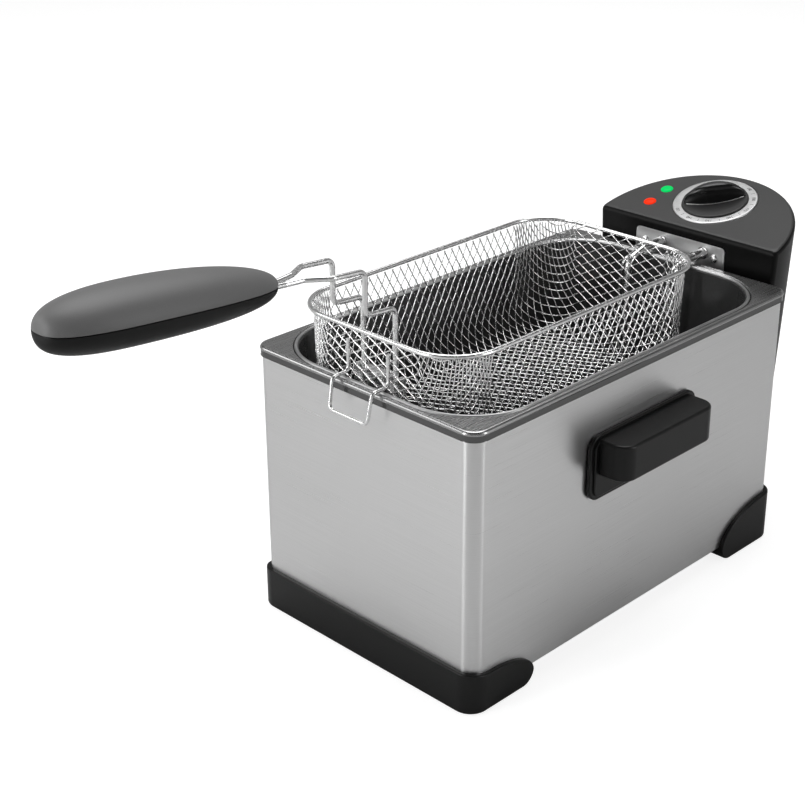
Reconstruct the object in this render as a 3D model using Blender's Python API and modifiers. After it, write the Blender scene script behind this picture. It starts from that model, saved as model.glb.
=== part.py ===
"""Deep fryer with a lift-out oil pot, a lift-off control head with its heating element,
and a wire basket with a folding handle, shown with the basket hooked on the rim to drain.

Units are metres, +Z is up. The basket handle points to -Y (the front), and the control head
is at +Y. The origin is on the bench, under the middle of the overall length.
"""

import math

import bmesh
import bpy
from mathutils import Matrix, Vector

# ---------------------------------------------------------------- driving dimensions
GAP = 0.0003                    # clearance between touching pieces
BODY_Y = 0.07373                # middle of the body, behind the middle of the whole length

BODY_WIDTH = 0.220              # outer shell, side to side
BODY_LENGTH = 0.3683            # outer shell, front to back
BODY_RADIUS = 0.011             # vertical corners of the outer shell
SHELL_BOTTOM = 0.0132
SHELL_THICKNESS = 0.0008
DECK_TOP = 0.2225
SKIRT_BOTTOM = 0.2145
SKIRT_OVERHANG = 0.0018
SHEET = 0.0009                  # thickness of the pressed deck

POT_HALF_X = 0.105              # to the middle of the pot's wired edge
POT_HALF_Y = 0.1775
POT_SHIFT_Y = -0.002
POT_RADIUS = 0.055
POT_RIM_Z = 0.2214
POT_RIM_WIRE = 0.0015           # radius
POT_FLOOR = 0.030
POT_DRAFT = 0.010               # how much the walls lean in from top to bottom

FOOT_BOTTOM = 0.0012
FOOT_PROUD = 0.0039             # how far the foot mouldings stand out from the shell
FOOT_LEDGE = 0.0095             # how far the ledge reaches in under the shell
FOOT_LIP = 0.0008
FOOT_TOE = 0.0110               # radius under the nose
FOOT_SPRING = 0.0130            # height of the nose's foremost point
FRONT_FOOT_TOP = 0.034
FRONT_CREST = 0.0312            # on the sides, behind the step
FRONT_STEP_Y = (-0.184, -0.165)
FRONT_NOSE_Y = -0.121
REAR_FOOT_TOP = 0.044
REAR_LEVEL_Y = 0.188
REAR_NOSE_Y = 0.116

SIDE_HANDLE_Y = -0.0018
SIDE_HANDLE_REACH = 0.0292      # grip face, out from the shell
FLANGE_LENGTH = 0.1256
FLANGE_BOTTOM = 0.126
FLANGE_TOP = 0.178
GRIP_LENGTH = 0.1104
GRIP_BOTTOM = 0.147
GRIP_TOP = 0.1755

HEAD_Y = 0.196                  # front face of the control head, from the body's middle
HEAD_RADIUS = 0.0900            # half width, and radius of its round back
HEAD_FRONT_TOP = 0.2450         # sharp front top edge of the panel
HEAD_BOTTOM = 0.118
HEAD_DRAFT = 0.006              # how much the round wall leans in towards the bottom
HEAD_WALL = 0.0025
PANEL_TILT = math.radians(15.0)

HEAD_BACK_Y = HEAD_Y + HEAD_RADIUS - 0.004      # round back, at the height of the inlet
HEAD_BASE_Z = HEAD_BOTTOM + 0.0030

DIAL_X = -0.0024
DIAL_ALONG = 0.0472             # from the panel's front edge, up the slope
DIAL_RADIUS = 0.0364
KNOB_RADIUS = 0.0282
KNOB_BASE = (0.0004, 0.0060)    # underside and top of the knob's round base, above the panel
KNOB_TURN = math.radians(40)    # how far the ridge is turned from the panel's width
SHAFT_RADIUS = 0.0033
LAMP_RADIUS = 0.0046
LAMP_GREEN = (-0.0530, 0.0470)  # x, and the distance up the panel's slope
LAMP_RED = (-0.0540, 0.0235)

TUBE_RADIUS = 0.0033            # heating element
TUBE_X = (-0.0231, 0.0199)      # its two legs, left and right
TUBE_Z = 0.2280                 # where it leaves the head
ELEMENT_FLOOR_Z = 0.046
ELEMENT_KNEE_Y = 0.1720
ELEMENT_DROP_Y = 0.1505
ELEMENT_FRONT_Y = -0.130
ELEMENT_BACK_Y = 0.105
ELEMENT_OUTER_X = 0.062
PLATE_X = -0.0045
PLATE_WIDTH = 0.0910
PLATE_TOP = 0.2362
PLATE_BOTTOM = 0.2058
CAPILLARY_X = TUBE_X[0] - 0.0056
CAPILLARY_Z = TUBE_Z - 0.0010
BULB_RADIUS = 0.0026
BULB_LENGTH = 0.085
BULB_X = TUBE_X[0] - 0.0085
BULB_TOP = 0.150

INLET_WIDTH = 0.030
INLET_HEIGHT = 0.022
INLET_Z = 0.142
BUTTON_RADIUS = 0.0055
BUTTON_Z = 0.182

BASKET_HALF_X = 0.0835          # to the middle of the rim wire
BASKET_FRONT = -0.1747
BASKET_BACK = 0.1108
BASKET_RADIUS = 0.0387
BASKET_RIM_Z = 0.2599
BASKET_BOTTOM = 0.1682
BASKET_FLOOR_RADIUS = 0.0255
RIM_WIRE = 0.0016               # radius
MESH = 0.0012                   # thickness of the woven wall

HANDLE_WIRE = 0.0020            # radius
HANDLE_WIRE_X = 0.0160
HANDLE_PIVOT_Z = 0.2240
HANDLE_PIVOT_Y = -0.1635
HOOK_WIRE = 0.0013              # radius
HOOK_X = 0.0200
HOOK_TOP_Z = 0.2500
HOOK_ARM_Z = 0.2254
HOOK_WALL_Y = BASKET_FRONT + 0.0022 - HOOK_WIRE - 0.0010
HOOK_OUT_Y = -0.1905
HOOK_FOOT = (-0.1950, 0.2025)   # y and z of the loop's bottom

GRIP_TIP = Vector((0.0, -0.4371, 0.3370))
GRIP_END = Vector((0.0, -0.2556, 0.3182))
GRIP_HALF_WIDTH = 0.0262
GRIP_RISE = 0.0193              # above the seam
GRIP_FALL = 0.0200              # below the seam
GRIP_BOW = 0.0027               # how far the seam bows up between its ends
GRIP_WIDEST = 0.39              # share of the length from the tip

# ---------------------------------------------------------------- scene helpers


def clear_scene():
    for item in list(bpy.data.objects):
        bpy.data.objects.remove(item, do_unlink=True)


def new_collection(name):
    collection = bpy.data.collections.new(name)
    bpy.context.scene.collection.children.link(collection)
    return collection


clear_scene()
PARTS = new_collection("deep_fryer")
CUTTERS = new_collection("cutters")


def material(name, colour, roughness, metallic=0.0):
    found = bpy.data.materials.get(name)
    if found:
        return found
    made = bpy.data.materials.new(name)
    made.use_nodes = True
    shader = made.node_tree.nodes["Principled BSDF"]
    shader.inputs["Base Color"].default_value = (*colour, 1.0)
    shader.inputs["Roughness"].default_value = roughness
    shader.inputs["Metallic"].default_value = metallic
    made.diffuse_color = (*colour, 1.0)
    return made


BRUSHED_STEEL = material("brushed_steel", (0.60, 0.60, 0.60), 0.32, 1.0)
BRIGHT_WIRE = material("bright_wire", (0.75, 0.75, 0.74), 0.18, 1.0)
DARK_POT = material("dark_pot", (0.10, 0.10, 0.10), 0.22, 0.9)
BLACK_PLASTIC = material("black_plastic", (0.022, 0.022, 0.023), 0.42)
GREY_PANEL = material("grey_panel", (0.045, 0.045, 0.047), 0.5)
GLOSS_BLACK = material("gloss_black", (0.008, 0.008, 0.008), 0.12)
SOFT_GREY = material("soft_grey", (0.035, 0.035, 0.035), 0.45)
RUBBER = material("rubber", (0.02, 0.02, 0.02), 0.8)
SILVER_PAINT = material("silver_paint", (0.62, 0.62, 0.62), 0.35, 0.9)
GREEN_LENS = material("green_lens", (0.0, 0.55, 0.16), 0.15)
RED_LENS = material("red_lens", (0.75, 0.03, 0.01), 0.15)
RED_BUTTON = material("red_button", (0.45, 0.02, 0.02), 0.4)
CERAMIC = material("ceramic", (0.75, 0.73, 0.68), 0.5)
PLAIN_STEEL = material("plain_steel", (0.55, 0.55, 0.55), 0.35, 1.0)
COPPER = material("copper", (0.72, 0.43, 0.30), 0.3, 1.0)
BRASS = material("brass", (0.75, 0.60, 0.30), 0.3, 1.0)
DARK_MOULDING = material("dark_moulding", (0.02, 0.02, 0.021), 0.5)
LAMPS = (("green", LAMP_GREEN, GREEN_LENS), ("red", LAMP_RED, RED_LENS))


def add_object(name, data, surface, location=(0, 0, 0), rotation=(0, 0, 0)):
    """Link an object whose data is modelled about the body's middle."""
    made = bpy.data.objects.new(name, data)
    made.location = Vector(location) + Vector((0, BODY_Y, 0))
    made.rotation_euler = rotation
    if surface:
        data.materials.clear()
        data.materials.append(surface)
    PARTS.objects.link(made)
    return made


def hide_as_cutter(item):
    for collection in list(item.users_collection):
        collection.objects.unlink(item)
    CUTTERS.objects.link(item)
    item.hide_render = True
    item.display_type = "WIRE"
    return item


def boolean(target, other, operation, solver="EXACT"):
    step = target.modifiers.new(operation.title(), "BOOLEAN")
    step.solver = solver
    step.operation = operation
    step.object = hide_as_cutter(other)
    return target


def bevel(item, width, segments=2, angle=40):
    step = item.modifiers.new("Bevel", "BEVEL")
    step.width = width
    step.segments = segments
    step.limit_method = "ANGLE"
    step.angle_limit = math.radians(angle)
    return item


def solidify(item, thickness, offset=-1.0):
    step = item.modifiers.new("Solidify", "SOLIDIFY")
    step.thickness = thickness
    step.offset = offset
    step.use_even_offset = True
    return item


def smooth(item, angle=35):
    item.data.shade_smooth()
    item.data.set_sharp_from_angle(angle=math.radians(angle))
    return item


# ---------------------------------------------------------------- shape helpers


def arc(centre, radius, start, end, steps):
    """Points on a circle, both ends included; angles in degrees."""
    angles = [math.radians(start + (end - start) * i / steps) for i in range(steps + 1)]
    return [(centre[0] + radius * math.cos(a), centre[1] + radius * math.sin(a)) for a in angles]


def rounded_rectangle(half_x, half_y, radius, steps=6, shift_y=0.0):
    """Outline of a rounded rectangle, anticlockwise."""
    across = half_x - radius
    along = half_y - radius
    outline = []
    for x, y, start in ((across, -along, -90), (across, along, 0), (-across, along, 90), (-across, -along, 180)):
        outline += arc((x, y + shift_y), radius, start, start + 90, steps)
    return outline


def filleted(points, radius, steps=3):
    """A path of straight runs whose inner corners are rounded to the radius."""
    points = [Vector(p) for p in points]
    path = [points[0]]
    for before, corner, after in zip(points, points[1:], points[2:]):
        into = (before - corner).normalized()
        out = (after - corner).normalized()
        half = into.angle(out) / 2
        reach = min(radius / math.tan(half), 0.49 * min((before - corner).length, (after - corner).length))
        size = reach * math.tan(half)
        middle = corner + (into + out).normalized() * size / math.sin(half)
        first = (corner + into * reach - middle).normalized()
        last = (corner + out * reach - middle).normalized()
        path += [middle + first.slerp(last, i / steps) * size for i in range(steps + 1)]
    return path + [points[-1]]


def wire(name, points, radius, surface, cyclic=False, resolution=2):
    """A round wire or tube along the points, with closed ends."""
    curve = bpy.data.curves.new(name, "CURVE")
    curve.dimensions = "3D"
    curve.bevel_depth = radius
    curve.bevel_resolution = resolution
    curve.use_fill_caps = True
    spline = curve.splines.new("POLY")
    spline.points.add(len(points) - 1)
    for slot, point in zip(spline.points, points):
        slot.co = (*point, 1.0)
    spline.use_cyclic_u = cyclic
    spline.use_smooth = True
    return add_object(name, curve, surface)


def slab(name, outline, thickness, surface, location=(0, 0, 0), rotation=(0, 0, 0), rounding=0.0):
    """A flat outline given an even thickness about its own plane."""
    curve = bpy.data.curves.new(name, "CURVE")
    curve.dimensions = "2D"
    curve.fill_mode = "BOTH"
    curve.extrude = thickness / 2 - rounding
    curve.bevel_depth = rounding
    curve.bevel_resolution = 1
    curve.offset = -rounding
    spline = curve.splines.new("POLY")
    spline.points.add(len(outline) - 1)
    for slot, point in zip(spline.points, outline):
        slot.co = (point[0], point[1], 0.0, 1.0)
    spline.use_cyclic_u = True
    return to_mesh(add_object(name, curve, surface, location, rotation))


def to_mesh(item):
    """Turn a curve object into a mesh object with welded caps."""
    bpy.context.view_layer.update()
    evaluated = item.evaluated_get(bpy.context.evaluated_depsgraph_get())
    mesh = bpy.data.meshes.new_from_object(evaluated)
    build = bmesh.new()
    build.from_mesh(mesh)
    bmesh.ops.remove_doubles(build, verts=build.verts, dist=0.00001)
    bmesh.ops.recalc_face_normals(build, faces=build.faces)
    build.to_mesh(mesh)
    build.free()
    name = item.name
    place = item.matrix_world.copy()
    home = item.users_collection[0]
    bpy.data.objects.remove(item, do_unlink=True)
    made = bpy.data.objects.new(name, mesh)
    made.matrix_world = place
    home.objects.link(made)
    return made


def loft(name, loops, surface, close_first=False, close_last=False, ring=False):
    """Skin a list of loops with the same number of points; ring joins the last loop to the first."""
    build = bmesh.new()
    rows = [[build.verts.new(point) for point in loop] for loop in loops]
    pairs = list(zip(rows, rows[1:]))
    if ring:
        pairs.append((rows[-1], rows[0]))
    for low, high in pairs:
        for i in range(len(low)):
            j = (i + 1) % len(low)
            build.faces.new((low[i], low[j], high[j], high[i]))
    if close_first:
        build.faces.new(list(reversed(rows[0])))
    if close_last:
        build.faces.new(rows[-1])
    mesh = bpy.data.meshes.new(name)
    build.to_mesh(mesh)
    build.free()
    return smooth(add_object(name, mesh, surface))


def box(name, size, location, surface=None, rotation=(0, 0, 0)):
    build = bmesh.new()
    bmesh.ops.create_cube(build, size=1.0, matrix=Matrix.Diagonal((*size, 1.0)))
    mesh = bpy.data.meshes.new(name)
    build.to_mesh(mesh)
    build.free()
    return add_object(name, mesh, surface, location, rotation)


def cylinder(name, radius, depth, location, surface=None, rotation=(0, 0, 0), sides=24):
    build = bmesh.new()
    bmesh.ops.create_cone(build, cap_ends=True, segments=sides, radius1=radius, radius2=radius, depth=depth)
    mesh = bpy.data.meshes.new(name)
    build.to_mesh(mesh)
    build.free()
    return smooth(add_object(name, mesh, surface, location, rotation))


def turned(name, profile, surface, location=(0, 0, 0), rotation=(0, 0, 0), sides=32):
    """Turn a profile of (radius, height) points, listed from the top down its outer side.

    A profile that starts away from the axis is a closed section.
    """
    mesh = bpy.data.meshes.new(name)
    edges = [(i, i + 1) for i in range(len(profile) - 1)]
    if profile[0][0] > 0:
        edges.append((len(profile) - 1, 0))
    mesh.from_pydata([(r, 0.0, z) for r, z in profile], edges, [])
    made = add_object(name, mesh, surface, location, rotation)
    step = made.modifiers.new("Screw", "SCREW")
    step.steps = sides
    step.render_steps = sides
    step.use_merge_vertices = True
    step.merge_threshold = 0.00001
    step.use_smooth_shade = True
    return made


def at_height(outline, z):
    return [(x, y, z) for x, y in outline]


def body_outline(offset, steps=4):
    """The shell's outline, moved out by the offset; six steps match the pot's outline."""
    return rounded_rectangle(BODY_WIDTH / 2 + offset, BODY_LENGTH / 2 + offset, BODY_RADIUS + offset, steps)


# ---------------------------------------------------------------- body


def outer_shell():
    made = loft("outer_shell", [at_height(body_outline(0), SHELL_BOTTOM),
                                at_height(body_outline(0), SKIRT_BOTTOM + 0.003)], BRUSHED_STEEL)
    return solidify(made, SHELL_THICKNESS)


def pot_outline(offset, steps=6):
    return rounded_rectangle(POT_HALF_X + offset, POT_HALF_Y + offset, POT_RADIUS + offset, steps, POT_SHIFT_Y)


def top_deck():
    """Pressed sheet: skirt, rounded edge, flat top and a step down to the pot opening."""
    edge = 0.0024
    loops = [at_height(body_outline(SKIRT_OVERHANG, 6), SKIRT_BOTTOM)]
    for turn in (0, 30, 60, 90):
        offset = SKIRT_OVERHANG - edge * (1 - math.cos(math.radians(turn)))
        height = DECK_TOP - edge * (1 - math.sin(math.radians(turn)))
        loops.append(at_height(body_outline(offset, 6), height))
    loops.append(at_height(pot_outline(0.0040), DECK_TOP))
    loops.append(at_height(pot_outline(0.0026), DECK_TOP - 0.0010))
    loops.append(at_height(pot_outline(0.0016), POT_RIM_Z - POT_RIM_WIRE - GAP))
    loops.append(at_height(pot_outline(-0.0010), POT_RIM_Z - POT_RIM_WIRE - GAP))
    loops.append(at_height(pot_outline(-0.0012), POT_RIM_Z - 0.0050))
    return solidify(loft("top_deck", loops, BRUSHED_STEEL), SHEET)


def inner_liner():
    """Heat shield between the pot and the shell, with wide bends at its corners."""
    inset = 0.0032
    corner = 0.041
    top = 0.2080
    outline = rounded_rectangle(BODY_WIDTH / 2 - inset, BODY_LENGTH / 2 - inset, corner, 4)
    made = loft("inner_liner", [at_height(outline, SHELL_BOTTOM + 0.0040), at_height(outline, top)], PLAIN_STEEL)
    return solidify(made, 0.0005)


def base_plate():
    """Floor of the body, with two columns of vent slots."""
    outline = body_outline(-SHELL_THICKNESS - GAP)
    made = slab("base_plate", outline, 0.0016, PLAIN_STEEL, (0, 0, SHELL_BOTTOM + 0.0014))
    rows = 5
    pitch = 0.030
    for side in (-1, 1):
        for row in range(rows):
            along = pitch * (row - (rows - 1) / 2)
            slot = box("vent_slot", (0.050, 0.006, 0.010), (side * 0.045, along, SHELL_BOTTOM))
            boolean(made, slot, "DIFFERENCE")
    return made


def eased(share):
    """Smooth step from 0 to 1."""
    return share * share * (3 - 2 * share)


def foot_heights(y, nose, level, crest):
    """Bottom and top of a foot moulding at y: a quarter ellipse from its nose up to its crest."""
    run = abs(nose - level)
    into = min(abs(nose - y), run)
    toe = min(into, FOOT_TOE)
    bottom = FOOT_BOTTOM + FOOT_TOE - math.sqrt(FOOT_TOE ** 2 - (FOOT_TOE - toe) ** 2)
    top = FOOT_SPRING + (crest - FOOT_SPRING) * math.sqrt(1 - (1 - into / run) ** 2)
    return bottom, top


def front_foot_heights(y):
    """The front foot's crest steps up softly to a level front."""
    bottom, top = foot_heights(y, FRONT_NOSE_Y, FRONT_STEP_Y[1], FRONT_CREST)
    rise = min(max((FRONT_STEP_Y[1] - y) / (FRONT_STEP_Y[1] - FRONT_STEP_Y[0]), 0.0), 1.0)
    return bottom, top + (FRONT_FOOT_TOP - FRONT_CREST) * eased(rise)


def rear_foot_heights(y):
    return foot_heights(y, REAR_NOSE_Y, REAR_LEVEL_Y, REAR_FOOT_TOP)


def foot_side(side, nose, level):
    """Stations along one side of the shell, from a foot's nose: place and outward direction."""
    angles = (8, 16, 25, 36, 50, 68, 90)
    return [(side * BODY_WIDTH / 2, level + (nose - level) * math.cos(math.radians(a)), side, 0.0) for a in angles]


def foot_corner(side, end):
    """Stations round one corner of the shell, from its side to its front or back."""
    stations = []
    for i in range(6):
        across = side * math.cos(math.radians(18 * i))
        along = end * math.sin(math.radians(18 * i))
        x = side * (BODY_WIDTH / 2 - BODY_RADIUS) + BODY_RADIUS * across
        y = end * (BODY_LENGTH / 2 - BODY_RADIUS) + BODY_RADIUS * along
        stations.append((x, y, across, along))
    return stations


def foot(name, stations, heights):
    """Band with an L-shaped section: an outer wall, and a ledge under the shell."""
    loops = []
    for x, y, across, along in stations:
        bottom, top = heights(y)
        ledge = min(SHELL_BOTTOM - GAP, top - FOOT_LIP)
        section = [(FOOT_PROUD, bottom), (FOOT_PROUD, top), (GAP, top), (GAP, ledge), (-FOOT_LEDGE, ledge),
                   (-FOOT_LEDGE, bottom)]
        loops.append([(x + across * offset, y + along * offset, z) for offset, z in section])
    made = loft(name, loops, BLACK_PLASTIC, close_first=True, close_last=True)
    build = bmesh.new()
    build.from_mesh(made.data)
    bmesh.ops.recalc_face_normals(build, faces=build.faces)
    build.to_mesh(made.data)
    build.free()
    return made


def feet():
    """Front foot moulding round both front corners, two rear ones and four rubber pads."""
    rear_end_x = 0.065
    step_y = 0.2 * FRONT_STEP_Y[0] + 0.8 * FRONT_STEP_Y[1]
    halves = []
    for side in (1, -1):
        half = foot_side(side, FRONT_NOSE_Y, FRONT_STEP_Y[1])
        half.append((side * BODY_WIDTH / 2, step_y, side, 0.0))
        halves.append(half + foot_corner(side, -1))
    foot("front_foot_trim", halves[0] + halves[1][::-1], front_foot_heights)
    pad_height = FOOT_BOTTOM - GAP
    for side, label in ((-1, "left"), (1, "right")):
        stations = foot_side(side, REAR_NOSE_Y, REAR_LEVEL_Y)
        stations = [station for station in stations if station[1] < BODY_LENGTH / 2 - BODY_RADIUS - 0.001]
        stations += foot_corner(side, 1) + [(side * rear_end_x, BODY_LENGTH / 2, 0.0, 1.0)]
        foot("rear_foot_" + label, stations, rear_foot_heights)
        for end, place in ((-0.172, "front"), (0.172, "rear")):
            cylinder("rubber_foot_%s_%s" % (place, label), 0.0075, pad_height,
                     (side * 0.098, end, pad_height / 2), RUBBER, sides=20)


def side_handle(name, side):
    """Flange plate with a raised step and a hood-shaped grip, open underneath for the fingers."""
    shell = BODY_WIDTH / 2
    height = FLANGE_TOP - FLANGE_BOTTOM
    middle_z = (FLANGE_TOP + FLANGE_BOTTOM) / 2
    facing = (math.radians(90), 0, math.radians(90))
    made = slab(name, rounded_rectangle(FLANGE_LENGTH / 2, height / 2, 0.010, 4), 0.0036, BLACK_PLASTIC,
                (side * (shell + GAP + 0.0018), SIDE_HANDLE_Y, middle_z), facing)
    raised = rounded_rectangle(FLANGE_LENGTH / 2 - 0.0035, height / 2 - 0.0032, 0.007, 4)
    step = slab(name + "_step", raised, 0.0040, None, (side * (shell + 0.0036), SIDE_HANDLE_Y, middle_z), facing)
    boolean(made, step, "UNION")
    half = GRIP_LENGTH / 2
    depth = SIDE_HANDLE_REACH
    radius = 0.0125
    plan = [(0.001, -half)] + arc((depth - radius, radius - half), radius, -90, 0, 5)
    plan += arc((depth - radius, half - radius), radius, 0, 90, 5) + [(0.001, half)]
    plan = [(side * x, y) for x, y in plan]
    grip = slab(name + "_grip", plan, GRIP_TOP - GRIP_BOTTOM, None,
                (side * shell, SIDE_HANDLE_Y, (GRIP_TOP + GRIP_BOTTOM) / 2), rounding=0.0022)
    boolean(made, grip, "UNION")
    pocket_size = (SIDE_HANDLE_REACH - 0.0120, GRIP_LENGTH - 0.014, 0.030)
    pocket = box(name + "_pocket", pocket_size,
                 (side * (shell + 0.0070 + pocket_size[0] / 2), SIDE_HANDLE_Y, GRIP_TOP - 0.005 - 0.015))
    boolean(made, bevel(pocket, 0.004), "DIFFERENCE")
    return made


def head_rail():
    """Bracket on the back of the body, with a T-rail that the control head slides down onto."""
    back = BODY_LENGTH / 2
    front_of_head = HEAD_Y
    plate_y = (back + GAP, front_of_head - 0.0012)
    made = box("head_rail", (0.130, plate_y[1] - plate_y[0], 0.150), (0, sum(plate_y) / 2, 0.137), BLACK_PLASTIC)
    bevel(made, 0.003, 2)
    neck = box("rail_neck", (0.036, 0.012, 0.070), (0, front_of_head + 0.0015, 0.160))
    flange = box("rail_flange", (0.054, 0.003, 0.070), (0, front_of_head + HEAD_WALL + 0.0030, 0.160))
    boolean(made, neck, "UNION")
    boolean(made, flange, "UNION")
    return made


# ---------------------------------------------------------------- oil pot


def oil_pot():
    """Drawn pot: flange, sloping walls, rounded floor edge and floor, as one sheet."""
    floor_radius = 0.022
    top = POT_RIM_Z + 0.0002
    wall = -POT_RIM_WIRE - 0.0010
    loops = [at_height(pot_outline(-POT_RIM_WIRE - GAP), top),
             at_height(pot_outline(wall), top - 0.0008)]
    low = POT_FLOOR + floor_radius
    for turn in (0, 22.5, 45, 67.5, 90):
        inset = wall - POT_DRAFT - floor_radius * (1 - math.cos(math.radians(turn)))
        loops.append(at_height(pot_outline(inset), low - floor_radius * math.sin(math.radians(turn))))
    made = loft("oil_pot", [list(reversed(loop)) for loop in loops], DARK_POT, close_last=True)
    return solidify(made, 0.0010)


def pot_rim():
    return wire("pot_rim", at_height(pot_outline(0), POT_RIM_Z), POT_RIM_WIRE, BRIGHT_WIRE, cyclic=True)


# ---------------------------------------------------------------- control head


def panel_height(along_y):
    """Height of the sloping panel at a distance behind the head's front face."""
    return HEAD_FRONT_TOP + along_y * math.tan(PANEL_TILT)


def on_panel(x, along, lift=0.0):
    """A point on the panel, up its slope from the front edge, and lifted along its normal."""
    return Vector((x, HEAD_Y + along * math.cos(PANEL_TILT) - lift * math.sin(PANEL_TILT),
                   HEAD_FRONT_TOP + along * math.sin(PANEL_TILT) + lift * math.cos(PANEL_TILT)))


PANEL_FACING = (PANEL_TILT, 0, 0)
UPRIGHT = (math.radians(90), 0, 0)              # turns a piece's +Z to face the front


def head_outline(inset, corner=0.004):
    """D-shaped outline in plan, anticlockwise, its flat side on the head's front face."""
    radius = HEAD_RADIUS - inset
    corner_y = inset + corner
    corner_x = math.sqrt((radius - corner) ** 2 - corner_y ** 2)
    meet = math.degrees(math.atan2(corner_y, corner_x))
    points = arc((-corner_x, HEAD_Y + corner_y), corner, 180 - meet, 270, 3)
    points += arc((corner_x, HEAD_Y + corner_y), corner, 270, 360 + meet, 3)
    return points + arc((0, HEAD_Y), radius, meet, 180 - meet, 26)[1:-1]


def leaned(outline, share):
    """An outline drawn in towards the middle of the head's front face, fully at the bottom (share 1)."""
    scale = 1 - share * HEAD_DRAFT / HEAD_RADIUS
    return [(x * scale, HEAD_Y + (y - HEAD_Y) * scale) for x, y in outline]


def head_cover():
    """Moulded D-shaped cover: sloping panel, rounded top edge and a deep skirt that leans in."""
    edge = 0.0040

    def loop(inset, drop):
        return [(x, y, panel_height(y - HEAD_Y) - drop) for x, y in head_outline(inset)]

    loops = [at_height(leaned(head_outline(0), 1), HEAD_BOTTOM)]
    for turn in (0, 30, 60, 90):
        loops.append(loop(edge * (1 - math.cos(math.radians(turn))), edge * (1 - math.sin(math.radians(turn)))))
    made = loft("head_cover", loops, GREY_PANEL, close_last=True)
    solidify(made, HEAD_WALL)
    plate_depth = 0.0013
    recess_height = PLATE_TOP - PLATE_BOTTOM + 0.0018
    outline = rounded_rectangle(PLATE_WIDTH / 2 + 0.0005, recess_height / 2, 0.004, 3)
    recess = slab("plate_recess", outline, 0.004, None,
                  (PLATE_X, HEAD_Y + plate_depth - 0.002, (PLATE_TOP + PLATE_BOTTOM - 0.0008) / 2), UPRIGHT)
    boolean(made, recess, "DIFFERENCE")
    for label, x in zip(("left", "right"), TUBE_X):
        boolean(made, cylinder("tube_hole_" + label, TUBE_RADIUS + 0.0006, 0.020, (x, HEAD_Y, TUBE_Z), None,
                               UPRIGHT, 20), "DIFFERENCE")
    boolean(made, cylinder("capillary_hole", 0.0018, 0.020, (CAPILLARY_X, HEAD_Y, CAPILLARY_Z), None,
                           UPRIGHT, 12), "DIFFERENCE")
    boolean(made, cylinder("ring_recess", DIAL_RADIUS + 0.0004, 0.0016, on_panel(DIAL_X, DIAL_ALONG), None,
                           PANEL_FACING, 48), "DIFFERENCE")
    boolean(made, cylinder("shaft_hole", 0.0042, 0.020, on_panel(DIAL_X, DIAL_ALONG), None, PANEL_FACING, 20),
            "DIFFERENCE")
    for label, place, _ in LAMPS:
        boolean(made, cylinder("lamp_hole_" + label, LAMP_RADIUS + GAP, 0.020, on_panel(*place), None,
                               PANEL_FACING, 20), "DIFFERENCE")
    slot_top = 0.1960
    slot = box("rail_slot", (0.0372, 0.016, 0.160), (0, HEAD_Y + 0.001, slot_top - 0.080))
    boolean(made, slot, "DIFFERENCE")
    boolean(made, box("inlet_hole", (INLET_WIDTH + 0.0006, 0.040, INLET_HEIGHT + 0.0006),
                      (0, HEAD_BACK_Y, INLET_Z)), "DIFFERENCE")
    boolean(made, cylinder("button_hole", BUTTON_RADIUS + GAP, 0.040, (0, HEAD_BACK_Y, BUTTON_Z), None,
                           UPRIGHT, 20), "DIFFERENCE")
    return made


def head_base():
    """Plate that closes the bottom of the cover, with a slot for the rail."""
    outline = leaned(head_outline(HEAD_WALL + 3 * GAP), 1)
    made = slab("head_base", outline, 0.0025, BLACK_PLASTIC, (0, 0, HEAD_BASE_Z))
    boolean(made, box("rail_notch", (0.058, 0.020, 0.020), (0, HEAD_Y, HEAD_BASE_Z)), "DIFFERENCE")
    return made


def element_plate():
    """Steel plate screwed in the front recess; the element's two legs pass through it."""
    height = PLATE_TOP - PLATE_BOTTOM
    outline = rounded_rectangle(PLATE_WIDTH / 2, height / 2, 0.0035, 3)
    made = slab("element_plate", outline, 0.0010, BRUSHED_STEEL,
                (PLATE_X, HEAD_Y + 0.0005, PLATE_BOTTOM + height / 2), UPRIGHT)
    for label, x in zip(("left", "right"), TUBE_X):
        boolean(made, cylinder("plate_hole_" + label, TUBE_RADIUS + GAP, 0.010, (x, HEAD_Y, TUBE_Z), None,
                               UPRIGHT, 20), "DIFFERENCE")
    boolean(made, cylinder("plate_capillary_hole", 0.0015, 0.010, (CAPILLARY_X, HEAD_Y, CAPILLARY_Z), None,
                           UPRIGHT, 12), "DIFFERENCE")
    return made


def plate_screws():
    """Pan heads only, seated on the plate."""
    head = [(0.0, 0.0019), (0.0016, 0.0017), (0.0027, 0.0011), (0.0031, 0.0003), (0.0031, 0.0), (0.0, 0.0)]
    for side, label in ((-1, "left"), (1, "right")):
        turned("plate_screw_" + label, head, BRIGHT_WIRE, (PLATE_X + side * 0.0354, HEAD_Y - GAP, 0.2255),
               UPRIGHT, 16)


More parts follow.
